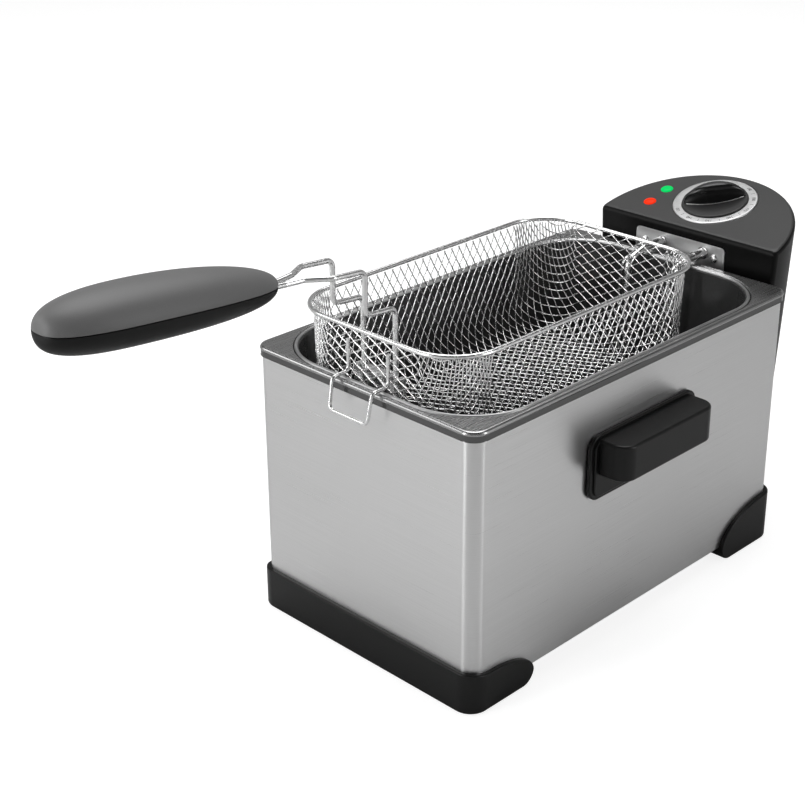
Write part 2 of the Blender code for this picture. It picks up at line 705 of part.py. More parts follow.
def element_path():
    """Centre line: out of the head, over the rim, down, along the floor in two hairpins and back."""
    left, right = TUBE_X
    inner = HEAD_Y + 0.008
    outer_x = ELEMENT_OUTER_X
    low = ELEMENT_FLOOR_Z
    turn_y = ELEMENT_BACK_Y
    points = [(left, inner, TUBE_Z), (left, ELEMENT_KNEE_Y, TUBE_Z),
              (left, ELEMENT_DROP_Y, TUBE_Z - 0.0060), (left, ELEMENT_DROP_Y, low),
              (left, turn_y + 0.020, low), (-outer_x, turn_y, low), (-outer_x, ELEMENT_FRONT_Y, low),
              (left, ELEMENT_FRONT_Y, low), (left, turn_y - 0.040, low), (right, turn_y - 0.040, low),
              (right, ELEMENT_FRONT_Y, low), (outer_x, ELEMENT_FRONT_Y, low), (outer_x, turn_y, low),
              (right, turn_y + 0.020, low), (right, ELEMENT_DROP_Y, low),
              (right, ELEMENT_DROP_Y, TUBE_Z - 0.0060), (right, ELEMENT_KNEE_Y, TUBE_Z),
              (right, inner, TUBE_Z)]
    return filleted(points, 0.012)


def heating_element():
    return wire("heating_element", element_path(), TUBE_RADIUS, BRIGHT_WIRE)


def element_clip():
    """Strap that holds the two legs apart and carries the thermostat bulb."""
    z = 0.110
    left, right = TUBE_X
    hold = TUBE_RADIUS + 0.0020
    length = right - left + 2 * hold
    made = box("element_clip", (length + 0.010, 0.0120, 0.0100),
               ((left + right) / 2 - 0.005, ELEMENT_DROP_Y, z), PLAIN_STEEL)
    for label, x in zip(("left", "right"), TUBE_X):
        boolean(made, cylinder("clip_hole_" + label, TUBE_RADIUS + GAP, 0.030, (x, ELEMENT_DROP_Y, z), None,
                               sides=16), "DIFFERENCE")
    boolean(made, cylinder("clip_hole_bulb", BULB_RADIUS + GAP, 0.030, (BULB_X, ELEMENT_DROP_Y, z), None,
                           sides=12), "DIFFERENCE")
    return made


def thermostat_bulb():
    middle = (BULB_X, ELEMENT_DROP_Y, BULB_TOP - BULB_LENGTH / 2)
    return cylinder("thermostat_bulb", BULB_RADIUS, BULB_LENGTH, middle, COPPER, sides=12)


def capillary_tube():
    """Thin tube from the thermostat, beside the left leg, down to the bulb."""
    points = [(CAPILLARY_X, HEAD_Y + 0.020, CAPILLARY_Z), (CAPILLARY_X, ELEMENT_KNEE_Y, CAPILLARY_Z),
              (CAPILLARY_X, ELEMENT_DROP_Y, CAPILLARY_Z - 0.0060),
              (BULB_X, ELEMENT_DROP_Y, 0.200), (BULB_X, ELEMENT_DROP_Y, BULB_TOP + GAP)]
    return wire("capillary_tube", filleted(points, 0.008), 0.0010, COPPER, resolution=1)


def thermostat():
    """Switch body under the panel, with a hole for the shaft that the knob turns."""
    width = 0.034
    depth = 0.018
    middle = on_panel(DIAL_X, DIAL_ALONG, -HEAD_WALL - 0.0010 - depth / 2)
    made = box("thermostat_body", (width, width, depth), middle, CERAMIC, PANEL_FACING)
    bore = cylinder("thermostat_bore", SHAFT_RADIUS + GAP, depth + 0.010, middle, None, PANEL_FACING, 20)
    return boolean(made, bore, "DIFFERENCE")


def thermostat_shaft():
    """Spindle from inside the thermostat up into the knob."""
    top = 0.0030
    bottom = -0.0180
    return cylinder("thermostat_shaft", SHAFT_RADIUS, top - bottom, on_panel(DIAL_X, DIAL_ALONG, (top + bottom) / 2),
                    BRASS, PANEL_FACING, 20)


def dial_ring():
    """Flat silver ring with chamfered edges, set in the panel's round recess."""
    inner = KNOB_RADIUS + 0.0004
    low = -0.0005
    high = 0.0008
    profile = [(inner, high), (DIAL_RADIUS - 0.0008, high), (DIAL_RADIUS, high - 0.0006), (DIAL_RADIUS, low),
               (inner, low)]
    return turned("dial_ring", profile, SILVER_PAINT, on_panel(DIAL_X, DIAL_ALONG), PANEL_FACING, 48)


def temperature_knob():
    """Round base with a half-moon finger ridge, bored for the thermostat shaft."""
    low, high = KNOB_BASE
    middle = on_panel(DIAL_X, DIAL_ALONG, (low + high) / 2)
    made = cylinder("temperature_knob", KNOB_RADIUS, high - low, middle, GLOSS_BLACK, KNOB_FACING, 40)
    bevel(made, 0.0015, 2)
    half = KNOB_RADIUS - 0.0016
    rise = 0.0120
    profile = [(-half, 0.0), (half, 0.0)]
    profile += [(half * math.cos(math.radians(a)), rise * math.sin(math.radians(a))) for a in range(15, 180, 15)]
    ridge = slab("knob_ridge", profile, 0.0120, None, on_panel(DIAL_X, DIAL_ALONG, high - 0.0008),
                 RIDGE_FACING, rounding=0.0025)
    boolean(made, ridge, "UNION", "MANIFOLD")
    bore = cylinder("knob_bore", SHAFT_RADIUS + GAP, 0.0070, on_panel(DIAL_X, DIAL_ALONG), None, PANEL_FACING, 20)
    return boolean(made, bore, "DIFFERENCE")


def knob_marker():
    """Bright bar laid on the knob's base along the foot of the ridge."""
    across = Vector((math.sin(KNOB_TURN), -math.cos(KNOB_TURN), 0)) * 0.0072
    middle = on_panel(DIAL_X + across.x, DIAL_ALONG + across.y, KNOB_BASE[1] + GAP + 0.0004)
    return box("knob_marker", (2 * KNOB_RADIUS - 0.0070, 0.0010, 0.0008), middle, SILVER_PAINT, KNOB_FACING)


KNOB_FRAME = Matrix.Rotation(PANEL_TILT, 3, "X") @ Matrix.Rotation(KNOB_TURN, 3, "Z")
KNOB_FACING = KNOB_FRAME.to_euler()
RIDGE_FACING = (KNOB_FRAME @ Matrix.Rotation(math.radians(90), 3, "X")).to_euler()


def lamps():
    """Domed lenses through the panel."""
    for label, place, surface in LAMPS:
        profile = [(0.0, 0.0014), (LAMP_RADIUS * 0.55, 0.0011), (LAMP_RADIUS * 0.88, 0.0005),
                   (LAMP_RADIUS, -0.0003), (LAMP_RADIUS, -0.0070), (0.0, -0.0070)]
        turned("lamp_" + label, profile, surface, on_panel(*place), PANEL_FACING, 20)


def head_internals():
    """Switchgear inside the head: terminal block, interlock switch and thermal reset switch."""
    legs_x = (TUBE_X[0] + TUBE_X[1]) / 2
    box("terminal_block", (0.036, 0.012, 0.012), (legs_x, HEAD_Y + 0.016, TUBE_Z - 0.001), CERAMIC)
    box("interlock_switch", (0.028, 0.010, 0.010), (0, HEAD_Y + 0.010, 0.2030), DARK_MOULDING)
    box("reset_switch", (0.022, 0.022, 0.022), (0, HEAD_BACK_Y - 0.0240, BUTTON_Z), DARK_MOULDING)


def reset_button():
    """Push button that stands out of the back of the head."""
    inner = HEAD_BACK_Y - 0.0105
    outer = HEAD_BACK_Y + 0.0042
    return cylinder("reset_button", BUTTON_RADIUS, outer - inner, (0, (inner + outer) / 2, BUTTON_Z), RED_BUTTON,
                    (math.radians(-90), 0, 0), 20)


def power_inlet():
    """Recessed mains inlet with three pins, in the back of the head."""
    outer = HEAD_BACK_Y + 0.0040
    depth = 0.024
    made = box("power_inlet", (INLET_WIDTH, depth, INLET_HEIGHT), (0, outer - depth / 2, INLET_Z), BLACK_PLASTIC)
    flange = box("inlet_flange", (INLET_WIDTH + 0.008, 0.0052, INLET_HEIGHT + 0.008),
                 (0, outer - 0.0026 + 0.0024, INLET_Z))
    boolean(made, flange, "UNION")
    socket = box("inlet_socket", (INLET_WIDTH - 0.006, 0.018, INLET_HEIGHT - 0.006), (0, outer - 0.0060, INLET_Z))
    boolean(made, socket, "DIFFERENCE")
    for i, x in enumerate((-0.007, 0.0, 0.007)):
        pin_z = INLET_Z + (0.002 if i == 1 else -0.001)
        length = 0.011
        seat = outer - 0.0150 + GAP
        box("inlet_pin_%d" % (i + 1), (0.0020, length, 0.0040), (x, seat + length / 2, pin_z), BRASS)
    return made


# ---------------------------------------------------------------- basket


def basket_outline(offset, steps=6):
    middle = (BASKET_FRONT + BASKET_BACK) / 2
    half = (BASKET_BACK - BASKET_FRONT) / 2
    return rounded_rectangle(BASKET_HALF_X + offset, half + offset, BASKET_RADIUS + offset, steps, middle)


def basket_shell():
    """Open basket as a thin skin; its walls hang just inside the rim wire."""
    wall = -0.0022
    lean = 0.0010
    top = BASKET_RIM_Z - RIM_WIRE - GAP
    loops = [at_height(basket_outline(wall), top)]
    low = BASKET_BOTTOM + BASKET_FLOOR_RADIUS
    for turn in (0, 22.5, 45, 67.5, 90):
        inset = wall - lean - BASKET_FLOOR_RADIUS * (1 - math.cos(math.radians(turn)))
        loops.append(at_height(basket_outline(inset), low - BASKET_FLOOR_RADIUS * math.sin(math.radians(turn))))
    made = loft("basket_shell", [list(reversed(loop)) for loop in loops], BRIGHT_WIRE, close_last=True)
    return solidify(made, MESH)


def basket_rim_wire():
    return wire("basket_rim_wire", at_height(basket_outline(0), BASKET_RIM_Z), RIM_WIRE, BRIGHT_WIRE, cyclic=True)


def drain_hook():
    """One wire: up the front of the basket, out over the fryer's rim and down in a loop."""
    x = HOOK_X
    foot_y, foot_z = HOOK_FOOT
    half = [(x, HOOK_WALL_Y, HOOK_TOP_Z), (x, HOOK_WALL_Y, HOOK_ARM_Z), (x, HOOK_OUT_Y, HOOK_ARM_Z),
            (x - 0.001, foot_y, foot_z)]
    points = half + [(-px, py, pz) for px, py, pz in reversed(half)]
    return wire("drain_hook", filleted(points, 0.0045), HOOK_WIRE, BRIGHT_WIRE)


def handle_bracket():
    """Cross bar inside the front wall, slotted for the handle's two wire ends to swing in."""
    length = 2 * HANDLE_WIRE_X + 0.012
    depth = 0.0080
    top = HANDLE_PIVOT_Z + 0.0040
    bottom = HANDLE_PIVOT_Z - 0.0110
    slot_bottom = HANDLE_PIVOT_Z - 0.0062
    slot_height = 0.0200
    middle = (0, HANDLE_PIVOT_Y, (top + bottom) / 2)
    made = box("handle_bracket", (length, depth, top - bottom), middle, BRIGHT_WIRE)
    for side in (-1, 1):
        slot = box("wire_slot", (2 * HANDLE_WIRE + 0.0008, 0.030, slot_height),
                   (side * HANDLE_WIRE_X, HANDLE_PIVOT_Y, slot_bottom + slot_height / 2))
        boolean(made, slot, "DIFFERENCE")
    return made


# ---------------------------------------------------------------- handle


def grip_width(share):
    """Half width of the grip, from 0 at its ends to 1 where it is widest."""
    if share < GRIP_WIDEST:
        return (1 - ((GRIP_WIDEST - share) / GRIP_WIDEST) ** 2.6) ** (1 / 2.6)
    return (1 - ((share - GRIP_WIDEST) / (1 - GRIP_WIDEST)) ** 2.03) ** (1 / 2.03)


def grip_half(name, side, shrink, spill):
    """Solid half of the grip on one side of the seam (side 1 above, -1 below), made smaller all
    round by shrink, and carried past the seam by spill."""
    axis = GRIP_END - GRIP_TIP
    length = axis.length
    axis.normalize()
    normal = Vector((0.0, -axis.z, axis.y))
    rise = (GRIP_RISE if side > 0 else GRIP_FALL) - shrink
    rows = 16
    ribs = 10
    margin = 0.012 + shrink / length
    loops = []
    for i in range(rows + 1):
        share = margin + (1 - 2 * margin) * (0.5 - 0.5 * math.cos(math.pi * i / rows))
        width = grip_width(share)
        seam = GRIP_BOW * (1 - (2 * share - 1) ** 2) + side * GAP / 2
        middle = GRIP_TIP + axis * (length * share) + normal * seam
        half = max(GRIP_HALF_WIDTH * width - shrink, 0.002)
        height = max(rise * width ** 0.8, 0.002)
        ring = [middle + Vector((half, 0, 0)) - normal * (side * spill)] if spill else []
        for j in range(ribs + 1):
            angle = math.pi * j / ribs
            ring.append(middle + Vector((half * math.cos(angle), 0, 0)) + normal * (side * height * math.sin(angle)))
        if spill:
            ring.append(middle - Vector((half, 0, 0)) - normal * (side * spill))
        loops.append(ring if side < 0 else list(reversed(ring)))
    return loft(name, loops, SOFT_GREY, close_first=True, close_last=True)


def grip_shell(name, side):
    """Half of the grip, hollowed and with a way for the handle's wire."""
    made = grip_half(name, side, 0.0, 0.0)
    boolean(made, grip_half(name + "_hollow", side, 0.0026, 0.002), "DIFFERENCE")
    wire_way = to_mesh(wire(name + "_wire_way", handle_path(), HANDLE_WIRE + GAP, None))
    boolean(made, wire_way, "DIFFERENCE")
    return made


def handle_path():
    """Both legs of the handle's wire, joined by a bend inside the grip."""
    axis = (GRIP_END - GRIP_TIP).normalized()
    narrow = 0.0040
    inside = GRIP_END - axis * 0.110
    mouth = GRIP_END + axis * 0.004
    wide = HANDLE_WIRE_X
    leg = [(narrow, inside.y, inside.z), (narrow, mouth.y, mouth.z), (narrow + 0.0022, -0.2372, 0.3178),
           (wide, -0.2205, 0.3168), (wide, -0.1917, 0.3143), (wide, -0.1921, 0.2822),
           (wide, HANDLE_PIVOT_Y, 0.2798), (wide, HANDLE_PIVOT_Y, HANDLE_PIVOT_Z)]
    back = [(-x, y, z) for x, y, z in leg]
    return filleted(list(reversed(leg)) + back, 0.0060)


def grip_screw():
    """Pan head of the screw that holds the two halves together, under the grip."""
    axis = GRIP_END - GRIP_TIP
    share = 0.55
    normal = Vector((0.0, -axis.z, axis.y)).normalized()
    width = grip_width(share)
    depth = GRIP_FALL * width ** 0.8 - GRIP_BOW * (1 - (2 * share - 1) ** 2) + 2 * GAP
    facing = normal.to_track_quat("Z", "Y").to_euler()
    turned("grip_screw", [(0.0, 0.0), (0.0028, 0.0), (0.0028, -0.0003), (0.0021, -0.0012), (0.0, -0.0015)],
           PLAIN_STEEL, GRIP_TIP + axis * share - normal * depth, facing, 16)


def basket_handle():
    wire("handle_wire", handle_path(), HANDLE_WIRE, BRIGHT_WIRE)
    grip_screw()
    grip_shell("grip_upper", 1)
    grip_shell("grip_lower", -1)


# ---------------------------------------------------------------- assembly

outer_shell()
top_deck()
inner_liner()
base_plate()
feet()
side_handle("side_handle_left", -1)
side_handle("side_handle_right", 1)
head_rail()
oil_pot()
pot_rim()
head_cover()
head_base()
element_plate()
plate_screws()
heating_element()
element_clip()
thermostat_bulb()
capillary_tube()
thermostat()
thermostat_shaft()
dial_ring()
temperature_knob()
knob_marker()
lamps()
head_internals()
reset_button()
power_inlet()
basket_shell()
basket_rim_wire()
drain_hook()
handle_bracket()
basket_handle()
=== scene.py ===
"""Looks of the deep fryer: finer shapes and finishes for the parts of the CAD model, on a pale floor.

Shapes are modelled about the body's middle, as in the CAD, and moved back by BODY_Y into the frame.
Lengths are in metres.
"""

import math

import bmesh
import bpy
import numpy as np
from mathutils import Matrix, Vector


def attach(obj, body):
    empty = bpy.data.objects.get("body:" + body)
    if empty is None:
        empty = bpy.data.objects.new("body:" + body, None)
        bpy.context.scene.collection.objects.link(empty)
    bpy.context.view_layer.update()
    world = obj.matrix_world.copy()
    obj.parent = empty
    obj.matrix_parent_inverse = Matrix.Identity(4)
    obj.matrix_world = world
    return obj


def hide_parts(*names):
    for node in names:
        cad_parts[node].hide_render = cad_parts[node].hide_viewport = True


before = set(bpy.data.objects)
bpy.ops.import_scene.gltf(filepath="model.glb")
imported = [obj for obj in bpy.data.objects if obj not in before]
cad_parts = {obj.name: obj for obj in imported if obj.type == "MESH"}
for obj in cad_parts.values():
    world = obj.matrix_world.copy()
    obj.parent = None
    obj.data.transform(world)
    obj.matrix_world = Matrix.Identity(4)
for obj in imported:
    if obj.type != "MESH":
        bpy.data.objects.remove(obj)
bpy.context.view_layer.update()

# ------------ dimensions, as in the CAD

GAP = 0.0003
BODY_Y = 0.07373
BODY_WIDTH = 0.220
BODY_LENGTH = 0.3683
BODY_RADIUS = 0.011
SHELL_BOTTOM = 0.0132
SHELL_THICKNESS = 0.0008
DECK_TOP = 0.2225
SKIRT_BOTTOM = 0.2145
SKIRT_OVERHANG = 0.0018
SHEET = 0.0009

POT_HALF_X = 0.105
POT_HALF_Y = 0.1775
POT_SHIFT_Y = -0.002
POT_RADIUS = 0.055
POT_RIM_Z = 0.2214
POT_RIM_WIRE = 0.0015
POT_FLOOR = 0.030
POT_DRAFT = 0.010

FOOT_BOTTOM = 0.0012
FOOT_PROUD = 0.0039
FOOT_LEDGE = 0.0095
FOOT_LIP = 0.0008
FOOT_TOE = 0.0110
FOOT_SPRING = 0.0130
FRONT_FOOT_TOP = 0.034
FRONT_CREST = 0.0312
FRONT_STEP_Y = (-0.184, -0.165)
FRONT_NOSE_Y = -0.121
REAR_FOOT_TOP = 0.044
REAR_LEVEL_Y = 0.188
REAR_NOSE_Y = 0.116
REAR_END_X = 0.065

SIDE_HANDLE_Y = -0.0018
SIDE_HANDLE_REACH = 0.0292
FLANGE_LENGTH = 0.1256
FLANGE_BOTTOM = 0.126
FLANGE_TOP = 0.178
GRIP_LENGTH = 0.1104
GRIP_BOTTOM = 0.147
GRIP_TOP = 0.1755

HEAD_Y = 0.196
HEAD_RADIUS = 0.0900
HEAD_FRONT_TOP = 0.2450
HEAD_BOTTOM = 0.118
HEAD_DRAFT = 0.006
HEAD_WALL = 0.0025
PANEL_TILT = math.radians(15.0)
HEAD_BACK_Y = HEAD_Y + HEAD_RADIUS - 0.004

DIAL_X = -0.0024
DIAL_ALONG = 0.0472
DIAL_RADIUS = 0.0364
KNOB_RADIUS = 0.0282
KNOB_LOW = 0.0004
KNOB_TURN = math.radians(40)
KNOB_DISC_TOP = 0.0024  # the disc lies low, and the ridge stands on it
LAMP_RADIUS = 0.0046
LAMPS = (("green", (-0.0530, 0.0470)), ("red", (-0.0540, 0.0235)))

TUBE_RADIUS = 0.0033
TUBE_X = (-0.0231, 0.0199)
TUBE_Z = 0.2280
ELEMENT_FLOOR_Z = 0.046
ELEMENT_KNEE_Y = 0.1720
ELEMENT_DROP_Y = 0.1505
ELEMENT_FRONT_Y = -0.130
ELEMENT_BACK_Y = 0.105
ELEMENT_OUTER_X = 0.062
PLATE_X = -0.0045
PLATE_WIDTH = 0.0910
PLATE_TOP = 0.2362
PLATE_BOTTOM = 0.2058
SCREW_OUT = 0.0354  # each way from the plate's middle
SCREW_Z = 0.2255
SCREW_RADIUS = 0.0037
SCREW_RIM = 0.0003
SCREW_DOME = 0.0018
CAPILLARY_X = TUBE_X[0] - 0.0056
CAPILLARY_Z = TUBE_Z - 0.0010
INLET_WIDTH = 0.030
INLET_HEIGHT = 0.022
INLET_Z = 0.142
BUTTON_RADIUS = 0.0055
BUTTON_Z = 0.182

BASKET_HALF_X = 0.0835
BASKET_FRONT = -0.1747
BASKET_BACK = 0.1108
BASKET_RADIUS = 0.0387
BASKET_RIM_Z = 0.2599
BASKET_BOTTOM = 0.1682
BASKET_FLOOR_RADIUS = 0.0255
RIM_WIRE = 0.0016
HANDLE_WIRE = 0.0020
HANDLE_WIRE_X = 0.0160
HANDLE_PIVOT_Z = 0.2240
HANDLE_PIVOT_Y = -0.1635
HOOK_WIRE = 0.0013
HOOK_X = 0.0200
HOOK_TOP_Z = 0.2500
HOOK_ARM_Z = 0.2254
HOOK_WALL_Y = BASKET_FRONT + 0.0022 - HOOK_WIRE - 0.0010
HOOK_OUT_Y = -0.1905
HOOK_FOOT = (-0.1950, 0.2025)

GRIP_TIP = Vector((0.0, -0.4371, 0.3370))
GRIP_END = Vector((0.0, -0.2556, 0.3182))
GRIP_HALF_WIDTH = 0.0262
GRIP_RISE = 0.0193
GRIP_FALL = 0.0200
GRIP_BOW = 0.0027
GRIP_WIDEST = 0.39
GRIP_TRIM = (0.0090, 0.0040)  # shares of the length left off at the tip and the wire end

# ------------ finishes

NOISE_SPAN = (0.30, 0.70)  # where nearly all of a noise's values lie


def node(tree, kind, **inputs):
    """A shader node; capitalised names are its inputs, the others its own settings."""
    made = tree.nodes.new("ShaderNode" + kind)
    for key, value in inputs.items():
        if hasattr(made, key):
            setattr(made, key, value)
        else:
            made.inputs[key.replace("_", " ")].default_value = value
    return made


def finish(name, colour, roughness, metallic=0.0, grain=700, tone=0.06, gloss=0.05, relief=0.00002,
           clouds=28.0, cloud_share=0.35, brushed=0.0, **sockets):
    """A surface whose colour, roughness and relief follow a fine grain and slow clouds.

    grain is the fineness of the grain in cells a metre, or its fineness along X, Y and Z, so that uneven
    numbers make brush lines; tone and gloss are how far colour and roughness stray; relief is the grain's
    depth in metres; brushed is the strength of the streaked highlight across the brush lines.
    """
    made = bpy.data.materials.new(name)
    made.use_nodes = True
    tree = made.node_tree
    shader = tree.nodes["Principled BSDF"]
    shader.inputs["Metallic"].default_value = metallic
    for key, value in sockets.items():
        shader.inputs[key.replace("_", " ")].default_value = value
    place = node(tree, "TexCoord")
    stretch = node(tree, "Mapping", Scale=grain if isinstance(grain, tuple) else (grain,) * 3)
    fine = node(tree, "TexNoise", Scale=1.0, Detail=4.0, Roughness=0.62)
    slow = node(tree, "TexNoise", Scale=clouds, Detail=3.0)
    both = node(tree, "Mix", Factor=cloud_share)
    shades = node(tree, "ValToRGB")
    for stop, place_on_ramp, change in zip(shades.color_ramp.elements, NOISE_SPAN, (-tone, tone)):
        stop.position = place_on_ramp
        stop.color = [min(c * (1 + change), 1.0) for c in colour] + [1.0]
    sheen = node(tree, "MapRange", From_Min=NOISE_SPAN[0], From_Max=NOISE_SPAN[1],
                 To_Min=max(roughness - gloss, 0.02), To_Max=roughness + gloss)
    bump = node(tree, "Bump", Distance=relief)
    link = tree.links.new
    link(place.outputs["Object"], stretch.inputs["Vector"])
    link(stretch.outputs["Vector"], fine.inputs["Vector"])
    link(place.outputs["Object"], slow.inputs["Vector"])
    link(fine.outputs[0], both.inputs["A"])
    link(slow.outputs[0], both.inputs["B"])
    link(both.outputs["Result"], shades.inputs["Fac"])
    link(both.outputs["Result"], sheen.inputs["Value"])
    link(fine.outputs[0], bump.inputs["Height"])
    link(shades.outputs["Color"], shader.inputs["Base Color"])
    link(sheen.outputs["Result"], shader.inputs["Roughness"])
    link(bump.outputs["Normal"], shader.inputs["Normal"])
    if brushed:
        along = node(tree, "Tangent", direction_type="RADIAL", axis="Z")
        link(along.outputs["Tangent"], shader.inputs["Tangent"])
        shader.inputs["Anisotropic"].default_value = brushed
        shader.inputs["Anisotropic Rotation"].default_value = 0.25
    return made


def grey(value):
    return (value, value, value)


def metal(name, shade, roughness, grain, **looks):
    return finish(name, grey(shade), roughness, 1.0, grain, **looks)


def plastic(name, shade, roughness, grain, **looks):
    return finish(name, grey(shade), roughness, 0.0, grain, **looks)


def lit_lens(name, colour, glow):
    return finish(name, colour, 0.35, grain=500, tone=0.10, gloss=0.04, Emission_Color=(*glow, 1.0),
                  Emission_Strength=0.9, Specular_IOR_Level=0.05)


WALL_STEEL = metal("brushed_wall_steel", 0.765, 0.31, (9, 9, 1500), tone=0.045, relief=0.000006, clouds=6,
                   cloud_share=0.2, brushed=0.75)
DECK_STEEL = metal("brushed_deck_steel", 0.40, 0.28, (1500, 10, 1500), tone=0.03, gloss=0.04,
                   relief=0.000001, clouds=7, cloud_share=0.2)
# Painted shade: the deck's skirt and the lip round the pot are drawn in a much darker steel than the deck top,
# standing in for the shade and dark reflections on that band.
SKIRT_STEEL_PAINTED_SHADE = metal("polished_skirt_steel_painted_shade", 0.14, 0.14, (20, 20, 900), tone=0.05, gloss=0.03, relief=0.000003)
BRIGHT_WIRE = metal("bright_wire", 0.86, 0.26, 260, tone=0.05, gloss=0.04, relief=0.000002, clouds=60)
WEAVE_WIRE = metal("woven_wire", 0.92, 0.22, 400, gloss=0.06, relief=0.00001, clouds=60)
PLATE_STEEL = metal("plate_steel", 0.80, 0.36, (1600, 1600, 14), tone=0.03, gloss=0.04, relief=0.0000015,
                    clouds=40)
TUBE_STEEL = metal("tube_steel", 0.78, 0.24, 300, tone=0.05, relief=0.000003, clouds=70)
PLAIN_STEEL = metal("plain_steel", 0.50, 0.34, 420, tone=0.08, gloss=0.07, relief=0.00001)
RING_SILVER = metal("ring_silver", 0.62, 0.36, 500, relief=0.000006)
BRASS = finish("brass", (0.72, 0.56, 0.28), 0.28, 1.0, 300, tone=0.08, gloss=0.06)
POT_COAT = plastic("dark_pot_coating", 0.045, 0.12, 900, tone=0.12, gloss=0.04, relief=0.000006)
BLACK_PLASTIC = plastic("black_plastic", 0.0050, 0.36, 1300, tone=0.12, relief=0.00003,
                        Specular_IOR_Level=0.30)
# Painted light: a lighter copy of the head's black plastic for the faces that look up, standing in for the sky's
# sheen on the sloping panel.
HEAD_TOP_PAINTED_LIGHT = plastic("head_top_painted_light", 0.040, 0.46, 1500, tone=0.08, gloss=0.04, relief=0.00003,
                     Specular_IOR_Level=0.35)
HEAD_PLASTIC = plastic("head_plastic", 0.0030, 0.40, 1500, tone=0.10, gloss=0.04, relief=0.00003,
                       Specular_IOR_Level=0.16)
# Painted light: a lighter copy of the knob's gloss black, for the disc and for the ridge's faces that do not face
# forward, standing in for the sheen on its upper faces.
KNOB_PAINTED_LIGHT = plastic("knob_painted_light", 0.030, 0.34, 1500, tone=0.08, gloss=0.04, Specular_IOR_Level=0.35)
KNOB_PLASTIC = plastic("gloss_black", 0.004, 0.22, 500, tone=0.10, gloss=0.04, relief=0.000004)
# Painted light and shade: the grip's light grey upper half and its near-black lower half are lit and shaded copies
# of one soft-touch finish.
GRIP_TOP_PAINTED_LIGHT = plastic("grip_top_painted_light", 0.15, 0.50, 1600, tone=0.08, gloss=0.04, relief=0.00004)
GRIP_UNDERSIDE_PAINTED_SHADE = plastic("grip_underside_painted_shade", 0.008, 0.48, 1600, tone=0.08, gloss=0.04, relief=0.00004,
                    Specular_IOR_Level=0.20)
RUBBER = plastic("rubber", 0.018, 0.8, 900, tone=0.15, gloss=0.06, relief=0.00006)
MARK_BLACK = plastic("mark_ink", 0.012, 0.55, 1500, tone=0.15)
DARK_MOULDING = plastic("dark_moulding", 0.016, 0.5, 1100, tone=0.12, gloss=0.06, relief=0.00003)
CERAMIC = finish("ceramic", (0.74, 0.72, 0.66), 0.55, grain=800, tone=0.05, gloss=0.06)
RED_BUTTON = finish("red_button", (0.42, 0.02, 0.018), 0.38, grain=900, tone=0.10)
GREEN_LENS = lit_lens("green_lens", (0.0, 0.20, 0.05), (0.0, 0.60, 0.11))
RED_LENS = lit_lens("red_lens", (0.30, 0.02, 0.004), (0.90, 0.022, 0.002))

# ------------ shape helpers


def sind(degrees):
    return math.sin(math.radians(degrees))


def cosd(degrees):
    return math.cos(math.radians(degrees))


def rounding(radius, step):
    """A quarter round as (from the side, from the top) pairs, from the side up to the top."""
    return [(radius * (1 - cosd(turn)), radius * (1 - sind(turn))) for turn in range(0, 91, step)]


def arc(centre, radius, start, end, steps):
    angles = [math.radians(start + (end - start) * i / steps) for i in range(steps + 1)]
    return [(centre[0] + radius * math.cos(a), centre[1] + radius * math.sin(a)) for a in angles]


def rounded_rectangle(half_x, half_y, radius, steps=12, shift_y=0.0):
    """Outline of a rounded rectangle, anticlockwise."""
    across = half_x - radius
    along = half_y - radius
    outline = []
    for x, y, start in ((across, -along, -90), (across, along, 0), (-across, along, 90), (-across, -along, 180)):
        outline += arc((x, y + shift_y), radius, start, start + 90, steps)
    return outline


def at_height(outline, z):
    return [(x, y, z) for x, y in outline]


def filleted(points, radius, steps):
    """A path of straight runs whose inner corners are rounded to the radius."""
    points = [Vector(p) for p in points]
    path = [points[0]]
    for before, corner, after in zip(points, points[1:], points[2:]):
        into = (before - corner).normalized()
        out = (after - corner).normalized()
        half = into.angle(out) / 2
        reach = min(radius / math.tan(half), 0.49 * min((before - corner).length, (after - corner).length))
        size = reach * math.tan(half)
        middle = corner + (into + out).normalized() * size / math.sin(half)
        first = (corner + into * reach - middle).normalized()
        last = (corner + out * reach - middle).normalized()
        path += [middle + first.slerp(last, i / steps) * size for i in range(steps + 1)]
    return path + [points[-1]]


def linked(name, data):
    """An object for the data, linked into the scene."""
    made = bpy.data.objects.new(name, data)
    bpy.context.scene.collection.objects.link(made)
    return made


def baked(item):
    """The mesh that an object's modifiers or curve make."""
    bpy.context.view_layer.update()
    return bpy.data.meshes.new_from_object(item.evaluated_get(bpy.context.evaluated_depsgraph_get()))


def from_curve(name, curve, place):
    """The mesh that a curve or a text makes, at its place; the curve is used up."""
    item = linked(name, curve)
    mesh = baked(item)
    bpy.data.objects.remove(item, do_unlink=True)
    bpy.data.curves.remove(curve)
    mesh.transform(place)
    return mesh


def new_object(name, vertices, faces, place=None):
    """A mesh object whose own place stays at the origin; place turns and moves its points first."""
    mesh = bpy.data.meshes.new(name)
    mesh.from_pydata([tuple(v) for v in vertices], [], faces)
    if place is not None:
        mesh.transform(place)
    return linked(name, mesh)


def skin(name, loops, close_first=False, close_last=False, place=None):
    """Skin a list of closed loops with the same number of points."""
    count = len(loops[0])
    last = (len(loops) - 1) * count
    faces = [(row + i, row + (i + 1) % count, row + count + (i + 1) % count, row + count + i)
             for row in range(0, last, count) for i in range(count)]
    if close_first:
        faces.append(range(count)[::-1])
    if close_last:
        faces.append(range(last, last + count))
    return tidy(new_object(name, [p for loop in loops for p in loop], faces, place))


